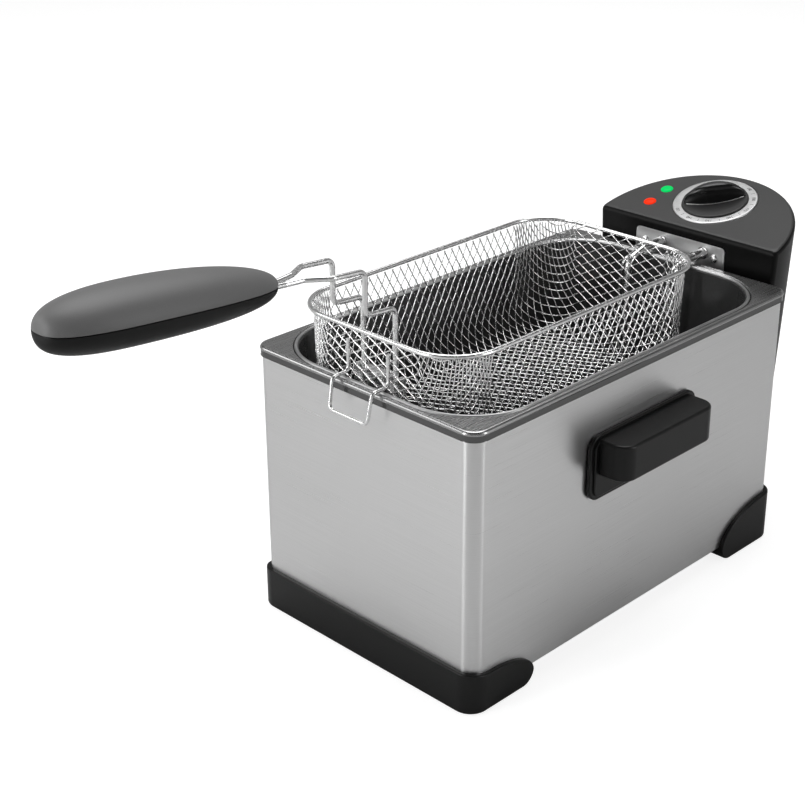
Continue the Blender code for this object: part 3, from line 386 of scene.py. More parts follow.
def tidy(item):
    """Weld, drop needles and turn the faces outward."""
    build = bmesh.new()
    build.from_mesh(item.data)
    bmesh.ops.remove_doubles(build, verts=build.verts, dist=0.000005)
    bmesh.ops.dissolve_degenerate(build, edges=build.edges, dist=0.000002)
    bmesh.ops.recalc_face_normals(build, faces=build.faces)
    build.to_mesh(item.data)
    build.free()
    return item


def applied(item, kind, **settings):
    """Add a modifier and bake it into the mesh."""
    step = item.modifiers.new(kind, kind)
    for key, value in settings.items():
        setattr(step, key, value)
    mesh = baked(item)
    item.modifiers.clear()
    old = item.data
    item.data = mesh
    bpy.data.meshes.remove(old)
    return item


def cut(item, tool, operation="DIFFERENCE"):
    """Take the tool away from the item, or join it on, and use the tool up."""
    applied(item, "BOOLEAN", object=tool, operation=operation, solver="EXACT")
    bpy.data.objects.remove(tool, do_unlink=True)
    return item


def thickened(item, thickness):
    return applied(item, "SOLIDIFY", thickness=thickness, offset=-1.0, use_even_offset=True)


def eased_edges(item, width, segments):
    return applied(item, "BEVEL", width=width, segments=segments, limit_method="ANGLE",
                   angle_limit=math.radians(35), harden_normals=False)


def facing(location, rotation=(0, 0, 0)):
    """A place at the location, turned about X, then Y, then Z."""
    turn = Matrix.Rotation(rotation[2], 4, "Z") @ Matrix.Rotation(rotation[1], 4, "Y") @ \
        Matrix.Rotation(rotation[0], 4, "X")
    return Matrix.Translation(location) @ turn


def plate(name, outline, thickness, place, rounding=0.0, steps=4):
    """A flat outline given an even thickness about its own plane, with rounded edges."""
    curve = bpy.data.curves.new(name, "CURVE")
    curve.dimensions = "2D"
    curve.fill_mode = "BOTH"
    curve.extrude = thickness / 2 - rounding
    curve.bevel_depth = rounding
    curve.bevel_resolution = steps if rounding else 0
    curve.offset = -rounding
    spline = curve.splines.new("POLY")
    spline.points.add(len(outline) - 1)
    for knot, (x, y) in zip(spline.points, outline):
        knot.co = (x, y, 0.0, 1.0)
    spline.use_cyclic_u = True
    return tidy(linked(name, from_curve(name, curve, place)))


def block(name, size, place, rounding=0.0):
    made = new_object(name, [(x * size[0] / 2, y * size[1] / 2, z * size[2] / 2)
                             for x in (-1, 1) for y in (-1, 1) for z in (-1, 1)],
                      [(0, 1, 3, 2), (4, 6, 7, 5), (0, 4, 5, 1), (2, 3, 7, 6), (0, 2, 6, 4), (1, 5, 7, 3)], place)
    if rounding:
        eased_edges(made, rounding, 4)
    return made


def turned(name, profile, place, sides):
    """Turn a profile of (radius, height) points round the Z axis; a profile off the axis is a closed ring."""
    tiny = 1e-9  # welded into one point on the axis
    angles = [2 * math.pi * i / sides for i in range(sides)]
    closed = profile + profile[:1] if profile[0][0] > tiny else profile
    loops = [[(max(r, tiny) * math.cos(a), max(r, tiny) * math.sin(a), z) for a in angles] for r, z in closed]
    return skin(name, loops, place=place)


def rod(name, radius, depth, place, sides):
    half = depth / 2
    return turned(name, [(0.0, half), (radius, half), (radius, -half), (0.0, -half)], place, sides)


def sweep(name, paths, radius, sides, cyclic=False):
    """Round wires along the paths, in one mesh, each with closed ends unless cyclic."""
    vertices = []
    faces = []
    angles = np.linspace(0, 2 * math.pi, sides, endpoint=False)
    for path in paths:
        points = np.array([tuple(p) for p in path], float)
        ahead = np.roll(points, -1, 0) - np.roll(points, 1, 0)
        if not cyclic:
            ahead[0] = points[1] - points[0]
            ahead[-1] = points[-1] - points[-2]
        ahead /= np.linalg.norm(ahead, axis=1)[:, None]
        side = np.cross(ahead[0], (0.0, 0.0, 1.0))
        if np.linalg.norm(side) < 0.1:
            side = np.cross(ahead[0], (0.0, 1.0, 0.0))
        start = len(vertices)
        for point, heading in zip(points, ahead):
            side = side - heading * (side @ heading)
            side /= np.linalg.norm(side)
            up = np.cross(side, heading)
            ring = point + radius * (np.outer(np.cos(angles), side) + np.outer(np.sin(angles), up))
            vertices.extend(ring.tolist())
        last = start + (len(points) - 1) * sides
        rows = [(row, row + sides) for row in range(start, last, sides)] + [(last, start)] * cyclic
        faces += [(here + i, there + i, there + (i + 1) % sides, here + (i + 1) % sides)
                  for here, there in rows for i in range(sides)]
        if not cyclic:
            faces += [range(start, start + sides), range(last, last + sides)[::-1]]
    return new_object(name, vertices, faces)


def piece(item, body, slot, surfaces, *nodes, angle=32, weighted=True):
    """Finish a piece: move it into the frame, shade it, paint it, and put it on its body.

    Edges sharper than angle stay sharp; nodes are the CAD nodes that the piece stands in for.
    """
    item.data.transform(Matrix.Translation((0, BODY_Y, 0)))
    item.data.shade_smooth()
    item.data.set_sharp_from_angle(angle=math.radians(angle))
    surfaces = surfaces if isinstance(surfaces, tuple) else (surfaces,)
    item.data.materials.clear()
    for surface in surfaces:
        item.data.materials.append(surface)
    if weighted:
        step = item.modifiers.new("even_shading", "WEIGHTED_NORMAL")
        step.keep_sharp = True
    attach(item, body)
    if nodes:
        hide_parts(*nodes)
    return item


def wire(name, path, radius, sides, body, surface, node_name, slot="bright_wire", cyclic=False):
    """A round wire along one path, finished as a piece."""
    piece(sweep(name, [path], radius, sides, cyclic), body, slot, surface, node_name, weighted=False)


def body_outline(offset):
    return rounded_rectangle(BODY_WIDTH / 2 + offset, BODY_LENGTH / 2 + offset, BODY_RADIUS + offset, 16)


def pot_outline(offset, steps=16):
    return rounded_rectangle(POT_HALF_X + offset, POT_HALF_Y + offset, POT_RADIUS + offset, steps, POT_SHIFT_Y)


UPRIGHT = (math.radians(90), 0, 0)  # turns a piece's +Z to face the front

# ------------ body


def shell():
    """Wrapped wall with a small hem rolled in at the bottom."""
    hem = 0.0011
    loops = [at_height(body_outline(-inset), SHELL_BOTTOM + lift) for lift, inset in rounding(hem, 30)]
    loops.append(at_height(body_outline(0), SKIRT_BOTTOM + 0.003))
    made = thickened(skin("body_shell", loops), SHELL_THICKNESS)
    piece(made, "base", "brushed_steel", WALL_STEEL, "outer_shell")


def deck():
    """Pressed deck: skirt with a hem, bead along the outer edge, flat top and rolled lip round the pot."""
    edge = 0.0024
    bead = 0.0004
    edge_foot = DECK_TOP - edge
    skirt = [(-0.0006, SKIRT_BOTTOM), (-0.0002, SKIRT_BOTTOM + 0.0002), (-bead, SKIRT_BOTTOM + 0.0007),
             (-bead, edge_foot - 0.0012), (0.0001 - bead, edge_foot - 0.0007)]
    skirt += [(-inset, DECK_TOP - drop) for inset, drop in rounding(edge, 10)]
    loops = [at_height(body_outline(SKIRT_OVERHANG + offset), z) for offset, z in skirt]
    lip = 0.0036
    lip_width, lip_drop = 0.0015, 0.0011
    lip_turns = [(lip_width * sind(turn), lip_drop * (1 - cosd(turn))) for turn in range(0, 91, 15)]
    loops += [at_height(pot_outline(lip - inset), DECK_TOP - drop) for inset, drop in lip_turns]
    seat = POT_RIM_Z - POT_RIM_WIRE - GAP
    loops += [at_height(pot_outline(offset), z)
              for offset, z in ((0.0019, seat), (-0.0010, seat), (-0.0012, POT_RIM_Z - 0.0050))]
    made = thickened(skin("deck_cover", loops), SHEET)
    piece(made, "base", "brushed_steel", (DECK_STEEL, SKIRT_STEEL_PAINTED_SHADE), "top_deck", angle=50)
    # Faces below the bead, on the skirt and on the lip that sinks round the pot, take the darker steel as painted
    # shade.
    for face in made.data.polygons:
        if face.center.z < edge_foot - bead:
            face.material_index = 1


def eased(share):
    """A rise from 0 to 1 that starts and ends level."""
    return share * share * (3 - 2 * share)


def foot_heights(y, nose, level, crest):
    """Bottom and top of a foot moulding at y: a quarter ellipse from its nose up to its crest."""
    run = abs(nose - level)
    into = min(abs(nose - y), run)
    toe = min(into, FOOT_TOE)
    bottom = FOOT_BOTTOM + FOOT_TOE - math.sqrt(FOOT_TOE ** 2 - (FOOT_TOE - toe) ** 2)
    top = FOOT_SPRING + (crest - FOOT_SPRING) * math.sqrt(1 - (1 - into / run) ** 2)
    return bottom, top


def front_foot_heights(y):
    bottom, top = foot_heights(y, FRONT_NOSE_Y, FRONT_STEP_Y[1], FRONT_CREST)
    rise = min(max((FRONT_STEP_Y[1] - y) / (FRONT_STEP_Y[1] - FRONT_STEP_Y[0]), 0.0), 1.0)
    return bottom, top + (FRONT_FOOT_TOP - FRONT_CREST) * eased(rise)


def rear_foot_heights(y):
    return foot_heights(y, REAR_NOSE_Y, REAR_LEVEL_Y, REAR_FOOT_TOP)


def foot_side(side, nose, level):
    """Stations (x, y, outward x, outward y) along one side wall, from the foot's nose to its level part."""
    angles = list(range(4, 60, 4)) + list(range(60, 91, 6))
    return [(side * BODY_WIDTH / 2, level + (nose - level) * cosd(a), side, 0.0) for a in angles]


def foot_corner(side, end):
    """Stations round one corner of the body, from the side wall to the end wall."""
    stations = []
    steps = 12
    for i in range(steps + 1):
        across = side * cosd(90 * i / steps)
        along = end * sind(90 * i / steps)
        x = side * (BODY_WIDTH / 2 - BODY_RADIUS) + BODY_RADIUS * across
        y = end * (BODY_LENGTH / 2 - BODY_RADIUS) + BODY_RADIUS * along
        stations.append((x, y, across, along))
    return stations


def foot(name, stations, heights, node_name):
    """Band with an L-shaped section and a softly rounded outer edge."""
    round_off = 0.0013
    loops = []
    for x, y, across, along in stations:
        bottom, top = heights(y)
        ledge = min(SHELL_BOTTOM - GAP, top - FOOT_LIP)
        soft = min(round_off, (top - bottom) * 0.4)
        section = [(FOOT_PROUD - soft, bottom), (FOOT_PROUD - soft * 0.3, bottom + soft * 0.3),
                   (FOOT_PROUD, bottom + soft)]
        section += [(FOOT_PROUD - inset, top - drop) for inset, drop in rounding(soft, 15)]
        section += [(GAP, top), (GAP, ledge), (-FOOT_LEDGE, ledge), (-FOOT_LEDGE, bottom)]
        loops.append([(x + across * offset, y + along * offset, z) for offset, z in section])
    made = skin(name, loops, close_first=True, close_last=True)
    piece(made, "base", "black_plastic", BLACK_PLASTIC, node_name, angle=45)


def feet():
    halves = []
    for side in (1, -1):
        half = foot_side(side, FRONT_NOSE_Y, FRONT_STEP_Y[1])
        for share in (0.1875, 0.375):
            y = FRONT_STEP_Y[1] + (FRONT_STEP_Y[0] - FRONT_STEP_Y[1]) * share
            half.append((side * BODY_WIDTH / 2, y, side, 0.0))
        halves.append(half + foot_corner(side, -1))
    foot("foot_front", halves[0] + halves[1][::-1], front_foot_heights, "front_foot_trim")
    for side, label in ((-1, "left"), (1, "right")):
        stations = foot_side(side, REAR_NOSE_Y, REAR_LEVEL_Y)
        stations = [station for station in stations if station[1] < BODY_LENGTH / 2 - BODY_RADIUS - 0.001]
        stations += foot_corner(side, 1) + [(side * REAR_END_X, BODY_LENGTH / 2, 0.0, 1.0)]
        foot("foot_rear_" + label, stations, rear_foot_heights, "rear_foot_" + label)


def side_handle(side, label):
    """Flange, raised step and hooded grip with a hollow behind its front wall for the fingers."""
    shell_x = BODY_WIDTH / 2
    height = FLANGE_TOP - FLANGE_BOTTOM
    middle_z = (FLANGE_TOP + FLANGE_BOTTOM) / 2
    outward = (math.radians(90), 0, math.radians(90))

    def layer(name, thickness, inner, trim_y, trim_z, radius):
        """A rounded plate that starts at inner from the wall and is trimmed along Y and Z."""
        return plate(name, rounded_rectangle(FLANGE_LENGTH / 2 - trim_y, height / 2 - trim_z, radius), thickness,
                     facing((side * (shell_x + inner + thickness / 2), SIDE_HANDLE_Y, middle_z), outward), 0.0010)

    made = layer("handle_side_" + label, thickness=0.0036, inner=GAP, trim_y=0, trim_z=0, radius=0.010)
    cut(made, layer("step", thickness=0.0040, inner=0.0016, trim_y=0.0035, trim_z=0.0032, radius=0.007), "UNION")
    half = GRIP_LENGTH / 2
    root, reach, radius = 0.0022, SIDE_HANDLE_REACH, 0.0125
    plan = [(root, -half)] + arc((reach - radius, radius - half), radius, -90, 0, 14)
    plan += arc((reach - radius, half - radius), radius, 0, 90, 14) + [(root, half)]
    plan = [(side * x, y) for x, y in plan]
    if side < 0:
        plan.reverse()
    grip = plate("grip", plan, GRIP_TOP - GRIP_BOTTOM,
                 facing((side * shell_x, SIDE_HANDLE_Y, (GRIP_TOP + GRIP_BOTTOM) / 2)), 0.0022, 6)
    cut(made, grip, "UNION")
    pocket_x, pocket_top, pocket_depth = 0.0070, GRIP_TOP - 0.005, 0.030
    size = (SIDE_HANDLE_REACH - 0.0120, GRIP_LENGTH - 0.014, pocket_depth)
    cut(made, block("pocket", size, facing((side * (shell_x + pocket_x + size[0] / 2), SIDE_HANDLE_Y,
                                            pocket_top - pocket_depth / 2)), 0.004))
    piece(made, "base", "black_plastic", BLACK_PLASTIC, "side_handle_" + label)


# ------------ oil pot


def pot():
    """Drawn pot with a deep floor radius."""
    floor_radius = 0.022
    thickness = 0.0010
    top = POT_RIM_Z + 0.0002
    wall = -POT_RIM_WIRE - thickness
    low = POT_FLOOR + floor_radius
    profile = [(-POT_RIM_WIRE - GAP, top), (wall + 0.0002, top - 0.0004), (wall, top - 0.0012)]
    profile += [(wall - POT_DRAFT * share, top + (low - top) * share) for share in (0.02, 0.5)]
    profile += [(wall - POT_DRAFT - inset, POT_FLOOR + lift) for inset, lift in rounding(floor_radius, 10)]
    loops = [at_height(pot_outline(offset), z) for offset, z in profile]
    made = thickened(skin("pot_bowl", [loop[::-1] for loop in loops], close_last=True), thickness)
    piece(made, "oil_pot", "dark_pot", POT_COAT, "oil_pot", angle=45)
    rim = at_height(pot_outline(0, 24), POT_RIM_Z)
    wire("pot_bead", rim, POT_RIM_WIRE, 18, "oil_pot", PLAIN_STEEL, "pot_rim", cyclic=True)


# ------------ control head


def panel_height(along_y):
    """Height of the sloping panel at a distance behind the head's front face."""
    return HEAD_FRONT_TOP + along_y * math.tan(PANEL_TILT)


def panel_place(x, along, lift=0.0, turn=0.0):
    """A place up the panel's slope from its front edge, lifted along the panel's normal and turned about it."""
    across, rise = math.cos(PANEL_TILT), math.sin(PANEL_TILT)
    place = (x, HEAD_Y + along * across - lift * rise, HEAD_FRONT_TOP + along * rise + lift * across)
    return Matrix.Translation(place) @ Matrix.Rotation(PANEL_TILT, 4, "X") @ Matrix.Rotation(turn, 4, "Z")


def head_outline(inset):
    """D-shaped outline in plan, anticlockwise, its flat side on the head's front face."""
    corner = 0.004
    radius = HEAD_RADIUS - inset
    corner_y = inset + corner
    corner_x = math.sqrt((radius - corner) ** 2 - corner_y ** 2)
    meet = math.degrees(math.atan2(corner_y, corner_x))
    points = arc((-corner_x, HEAD_Y + corner_y), corner, 180 - meet, 270, 8)
    points += arc((corner_x, HEAD_Y + corner_y), corner, 270, 360 + meet, 8)
    return points + arc((0, HEAD_Y), radius, meet, 180 - meet, 72)[1:-1]


def leaned(outline, share):
    """The head's outline drawn in by a share of its draft."""
    scale = 1 - share * HEAD_DRAFT / HEAD_RADIUS
    return [(x * scale, HEAD_Y + (y - HEAD_Y) * scale) for x, y in outline]


def head():
    """Moulded D-shaped cover: sloping panel, rounded top edge and a deep skirt that leans in."""
    edge = 0.0040

    def loop(inset, drop):
        return [(x, y, panel_height(y - HEAD_Y) - drop) for x, y in head_outline(inset)]

    loops = [at_height(leaned(head_outline(0), 1), HEAD_BOTTOM)]
    loops += [loop(inset, drop) for inset, drop in rounding(edge, 10)]
    made = thickened(skin("head_housing", loops, close_last=True), HEAD_WALL)
    recess_depth, recess_tool = 0.0013, 0.004
    recess_bottom, recess_top = PLATE_BOTTOM - 0.0013, PLATE_TOP + 0.0005
    cut(made, plate("recess", rounded_rectangle(PLATE_WIDTH / 2 + 0.0005, (recess_top - recess_bottom) / 2, 0.004),
                    recess_tool, facing((PLATE_X, HEAD_Y + recess_depth - recess_tool / 2,
                                         (recess_top + recess_bottom) / 2), UPRIGHT)))
    through = 0.020  # long enough for a tool to pass one wall
    holes = [(x, TUBE_Z, TUBE_RADIUS + 0.0006) for x in TUBE_X] + [(CAPILLARY_X, CAPILLARY_Z, 0.0018)]
    for x, z, radius in holes:
        cut(made, rod("hole", radius, through, facing((x, HEAD_Y, z), UPRIGHT), 32))
    cut(made, rod("ring_recess", DIAL_RADIUS + 0.0004, 0.0016, panel_place(DIAL_X, DIAL_ALONG), 96))
    cut(made, rod("shaft_hole", 0.0042, through, panel_place(DIAL_X, DIAL_ALONG), 32))
    for _, place in LAMPS:
        cut(made, rod("lamp_hole", LAMP_RADIUS + GAP, through, panel_place(*place), 40))
    slot_size, slot_top = (0.0372, 0.016, 0.160), 0.1960
    cut(made, block("rail_slot", slot_size, facing((0, HEAD_Y + 0.001, slot_top - slot_size[2] / 2))))
    cut(made, block("inlet_hole", (INLET_WIDTH + 2 * GAP, 2 * through, INLET_HEIGHT + 2 * GAP),
                    facing((0, HEAD_BACK_Y, INLET_Z))))
    cut(made, rod("button_hole", BUTTON_RADIUS + GAP, 2 * through, facing((0, HEAD_BACK_Y, BUTTON_Z), UPRIGHT), 32))
    piece(made, "control_head", "grey_panel", (HEAD_PLASTIC, HEAD_TOP_PAINTED_LIGHT), "head_cover")
    # Faces on the panel that look up take the lighter copy of the plastic as painted light; the rest of the cover
    # keeps the black.
    painted_light_normal_z, panel_foot = 0.80, HEAD_FRONT_TOP - 0.002
    for face in made.data.polygons:
        if face.normal.z > painted_light_normal_z and face.center.z > panel_foot:
            face.material_index = 1


def plate_and_screws():
    """Steel plate in the head's recess, its two screws, and the collars round the element's legs."""
    height = PLATE_TOP - PLATE_BOTTOM
    thickness = 0.0010
    made = plate("heater_plate", rounded_rectangle(PLATE_WIDTH / 2, height / 2, 0.0035), thickness,
                 facing((PLATE_X, HEAD_Y + thickness / 2, PLATE_BOTTOM + height / 2), UPRIGHT), 0.0002, 2)
    for x in TUBE_X:
        cut(made, rod("hole", TUBE_RADIUS + GAP, 0.010, facing((x, HEAD_Y, TUBE_Z), UPRIGHT), 32))
    cut(made, rod("hole", 0.0015, 0.010, facing((CAPILLARY_X, HEAD_Y, CAPILLARY_Z), UPRIGHT), 20))
    piece(made, "control_head", "brushed_steel", PLATE_STEEL, "element_plate")
    front = HEAD_Y - GAP
    for side, label in ((-1, "left"), (1, "right")):
        x = PLATE_X + side * SCREW_OUT
        dome = [(SCREW_RADIUS * cosd(a), SCREW_RIM + SCREW_DOME * sind(a)) for a in range(80, -1, -10)]
        profile = [(0.0, SCREW_RIM + SCREW_DOME)] + dome + [(SCREW_RADIUS, 0.0), (0.0, 0.0)]
        screw = turned("screw_" + label, profile, facing((x, front, SCREW_Z), UPRIGHT), 32)
        for turn in (20, 110):
            cut(screw, block("drive", (0.0034, 0.0006, 0.0016), facing((x, front - 0.0022, SCREW_Z), UPRIGHT) @
                             Matrix.Rotation(math.radians(turn), 4, "Z")))
        piece(screw, "control_head", "bright_wire", BRIGHT_WIRE, "plate_screw_" + label, angle=40)
    inner, outer, flare = (TUBE_RADIUS + extra for extra in (0.00005, 0.0009, 0.0019))
    length, corner, foot_height = 0.0140, 0.0003, 0.0006
    profile = [(inner, length), (outer - corner, length), (outer, length - corner), (outer, foot_height + 0.0002),
               (flare, foot_height), (flare, 0.0001), (inner, 0.0001)]
    for label, x in zip(("left", "right"), TUBE_X):
        collar = turned("tube_collar_" + label, profile, facing((x, front, TUBE_Z), UPRIGHT), 40)
        piece(collar, "control_head", "bright_wire", TUBE_STEEL, angle=30)


def element():
    """Heating tube: out of the head, over the rim, down, and in two hairpins along the floor."""
    low = ELEMENT_FLOOR_Z
    knee_drop = 0.0060  # the tube sinks this far from the knee to the drop
    outer_turn = ELEMENT_BACK_Y
    inner_turn = ELEMENT_BACK_Y - 0.040
    leg_foot = ELEMENT_BACK_Y + 0.020

    def half(x, outer_x):
        """From inside the head to the middle of the inner turn, on one side."""
        return [(x, HEAD_Y + 0.008, TUBE_Z), (x, ELEMENT_KNEE_Y, TUBE_Z), (x, ELEMENT_DROP_Y, TUBE_Z - knee_drop),
                (x, ELEMENT_DROP_Y, low), (x, leg_foot, low), (outer_x, outer_turn, low),
                (outer_x, ELEMENT_FRONT_Y, low), (x, ELEMENT_FRONT_Y, low), (x, inner_turn, low)]

    points = half(TUBE_X[0], -ELEMENT_OUTER_X) + half(TUBE_X[1], ELEMENT_OUTER_X)[::-1]
    wire("heater_tube", filleted(points, 0.012, 12), TUBE_RADIUS, 20, "control_head", TUBE_STEEL, "heating_element")


def printed_number(text, place):
    curve = bpy.data.curves.new("mark", "FONT")
    curve.body = text
    curve.size = 0.0040
    curve.align_x = "CENTER"
    curve.align_y = "CENTER"
    curve.extrude = 0.00003
    return from_curve("mark", curve, place)


def dial():
    """Silver ring and the marks printed on it: the temperatures in degrees Celsius, with ticks between."""
    inner = KNOB_RADIUS + 0.0004
    low, high = -0.0005, 0.0008
    centre = panel_place(DIAL_X, DIAL_ALONG)
    profile = [(inner, high - 0.0002), (inner + 0.0003, high), (DIAL_RADIUS - 0.0010, high),
               (DIAL_RADIUS - 0.0004, high - 0.0002), (DIAL_RADIUS, high - 0.0007), (DIAL_RADIUS, low), (inner, low)]
    ring = turned("dial_face", profile, centre, 96)
    piece(ring, "control_head", "silver_paint", RING_SILVER, "dial_ring", angle=40)
    middle = (inner + DIAL_RADIUS) / 2
    temperatures = range(130, 191, 10)
    first, spread = math.radians(-128), math.radians(190) / (len(temperatures) - 1)
    tick_size = (0.0032, 0.00036, 0.00006)
    build = bmesh.new()

    def add(mesh):
        build.from_mesh(mesh)
        bpy.data.meshes.remove(mesh)

    for i, temperature in enumerate(temperatures):
        here = centre @ Matrix.Rotation(first + spread * i, 4, "Z")
        add(printed_number(str(temperature), here @ facing((middle, 0, high + 0.00004), (0, 0, math.radians(-90)))))
        if i < len(temperatures) - 1:
            between = centre @ Matrix.Rotation(first + spread * (i + 0.5), 4, "Z")
            tick = block("tick", tick_size, between @ facing((middle, 0, high + tick_size[2] / 2)))
            mesh = tick.data
            bpy.data.objects.remove(tick, do_unlink=True)
            add(mesh)
    bmesh.ops.remove_doubles(build, verts=build.verts, dist=0.000002)
    bmesh.ops.recalc_face_normals(build, faces=build.faces)
    mesh = bpy.data.meshes.new("dial_marks")
    build.to_mesh(mesh)
    build.free()
    piece(linked("dial_marks", mesh), "control_head", "black_plastic", MARK_BLACK, weighted=False)


def ridge_outline(share):
    """Front and back of the knob's ridge at a share (-1 to 1) of its length, and its height."""
    swell = 1 - share * share
    return -0.0008 - 0.0066 * swell, 0.0008 + 0.0052 * swell, 0.0165 * math.sqrt(max(swell, 0.0))


def ridge_section(share):
    """The ridge's section (y, z) across its length: foot, leaning front, rounded top, leaning back, foot."""
    front, back, rise = ridge_outline(share)
    rise = max(rise, 0.0006)
    sunk, lean = -0.0015, 0.0004
    crown = min((back - front) * 0.34, rise * 0.45)
    section = [(front, sunk), (front + lean, rise * 0.5)]
    section += [(front + 2 * lean + run, rise - drop) for run, drop in rounding(crown, 15)]
    section += [(back - 2 * lean - run, rise - drop) for drop, run in rounding(crown, 15)]
    return section + [(back - lean, rise * 0.5), (back, sunk)]


def knob():
    """Low disc and a half-moon ridge that bulges to both sides; a bright line along its front foot."""
    low, high = KNOB_LOW, KNOB_DISC_TOP
    top_place = panel_place(DIAL_X, DIAL_ALONG, high, KNOB_TURN)
    profile = [(0.0, high)] + [(KNOB_RADIUS - inset, high - drop) for drop, inset in rounding(0.0009, 15)]
    profile += [(KNOB_RADIUS, low + 0.0003), (KNOB_RADIUS - 0.0003, low), (0.0, low)]
    disc = turned("knob_body", profile, panel_place(DIAL_X, DIAL_ALONG, 0, KNOB_TURN), 96)
    # The disc is drawn entirely in the lighter copy, as painted light.
    piece(disc, "temperature_knob", "gloss_black", KNOB_PAINTED_LIGHT, "temperature_knob", angle=40)
    half = KNOB_RADIUS - 0.0020
    rows = 40
    loops = []
    for i in range(rows + 1):
        share = -math.cos(math.pi * i / rows) * 0.995
        loops.append([(half * share, y, z) for y, z in ridge_section(share)])
    ridge = skin("knob_ridge", loops, True, True, top_place)
    piece(ridge, "temperature_knob", "gloss_black", (KNOB_PAINTED_LIGHT, KNOB_PLASTIC), "temperature_knob", angle=40)
    forward = top_place.to_3x3() @ Vector((0, -1, 0))
    # The ridge's forward faces keep the gloss black; its top, back and ends take the lighter copy as painted light.
    for face in ridge.data.polygons:
        face.material_index = int(face.normal.dot(forward) > 0.35)
    ends, beads = 0.93, 24
    shares = [ends * (2 * i / beads - 1) for i in range(beads + 1)]
    line = [top_place @ Vector((half * share, ridge_outline(share)[0] - 0.0004, 0.0003)) for share in shares]
    wire("knob_line", line, 0.00032, 10, "temperature_knob", RING_SILVER, "knob_marker", slot="silver_paint")


def lamps():
    """Domed lenses whose thin rims lie on the panel."""
    rim, edge, seat, bottom = LAMP_RADIUS + 0.0008, 0.0002, 0.00005, -0.0070
    profile = [(rim * sind(a), edge + 0.0015 * cosd(a)) for a in range(0, 91, 10)]
    profile += [(rim, seat), (LAMP_RADIUS, seat), (LAMP_RADIUS, bottom), (0.0, bottom)]
    for (label, place), surface in zip(LAMPS, (GREEN_LENS, RED_LENS)):
        made = turned("lens_" + label, profile, panel_place(*place), 48)
        piece(made, "control_head", label + "_lens", surface, "lamp_" + label, angle=50)


# ------------ basket


WEAVE_PITCH = (0.0147, 0.00825)  # the flat mesh's diamonds, along X and Y
WEAVE_WIRE_RADIUS = 0.00048
WEAVE_WAVE = 0.00018  # how far a wire rides over and under those it crosses
WEAVE_START = (-0.01400, 0.06394)  # where a wire of each family meets the rim of the left wall
WALL_INSET = 0.0028
WALL_LEAN = 0.0010
FLOOR_CORNER = 0.0100
HEM = 0.0030  # height over which the mesh turns out under the rim
HEM_OUT = 0.0014
MESH_LIFT = 0.0006  # from the basket's underside to the middle of its wires
WIRE_EXTRA = 0.0002  # rim and hook look this much stouter than the CAD's wires


class Basket:
    """Folds a flat sheet of mesh into the basket: floor, rounded edge and walls."""

    middle_y = (BASKET_FRONT + BASKET_BACK) / 2
    radius = BASKET_FLOOR_RADIUS
    inset = WALL_INSET + WALL_LEAN + radius
    straight_x = BASKET_HALF_X - inset - FLOOR_CORNER
    straight_y = (BASKET_BACK - BASKET_FRONT) / 2 - inset - FLOOR_CORNER
    arc = radius * math.pi / 2
    low = BASKET_BOTTOM + MESH_LIFT
    wall = BASKET_RIM_Z - low - radius
    reach = arc + wall

    @classmethod
    def profile(cls, distance):
        """Outward offset and height at a distance up from the floor's edge, with the normal's two parts."""
        if distance <= 0:
            return distance, cls.low, 0.0, -1.0
        if distance < cls.arc:
            turn = distance / cls.radius
            lift = cls.radius * (1 - math.cos(turn))
            return cls.radius * math.sin(turn), cls.low + lift, math.sin(turn), -math.cos(turn)
        up = distance - cls.arc
        out = cls.radius + WALL_LEAN * up / cls.wall
        out += HEM_OUT * eased(max(0.0, (up - cls.wall + HEM) / HEM))
        return out, cls.low + cls.radius + up, 1.0, 0.0

    @classmethod
    def fold(cls, u, v):
        """Place and outward normal of a point of the flat sheet, and its distance up the wall."""
        over_x = abs(u) - cls.straight_x
        over_y = abs(v) - cls.straight_y
        side_x = math.copysign(1, u)
        side_y = math.copysign(1, v)
        if over_x > 0 and over_y > 0:
            far = math.hypot(over_x, over_y)
            away = (over_x / far, over_y / far)
        elif over_x > over_y:
            far = over_x
            away = (1.0, 0.0)
        else:
            far = over_y
            away = (0.0, 1.0)
        distance = far - FLOOR_CORNER
        if distance <= 0:
            return (u, v + cls.middle_y, cls.low), (0.0, 0.0, -1.0), distance
        out, z, across, down = cls.profile(distance)
        grown = FLOOR_CORNER + out
        x = u if away[0] == 0 else side_x * (cls.straight_x + grown * away[0])
        y = v if away[1] == 0 else side_y * (cls.straight_y + grown * away[1])
        return (x, y + cls.middle_y, z), (side_x * away[0] * across, side_y * away[1] * across, down), distance


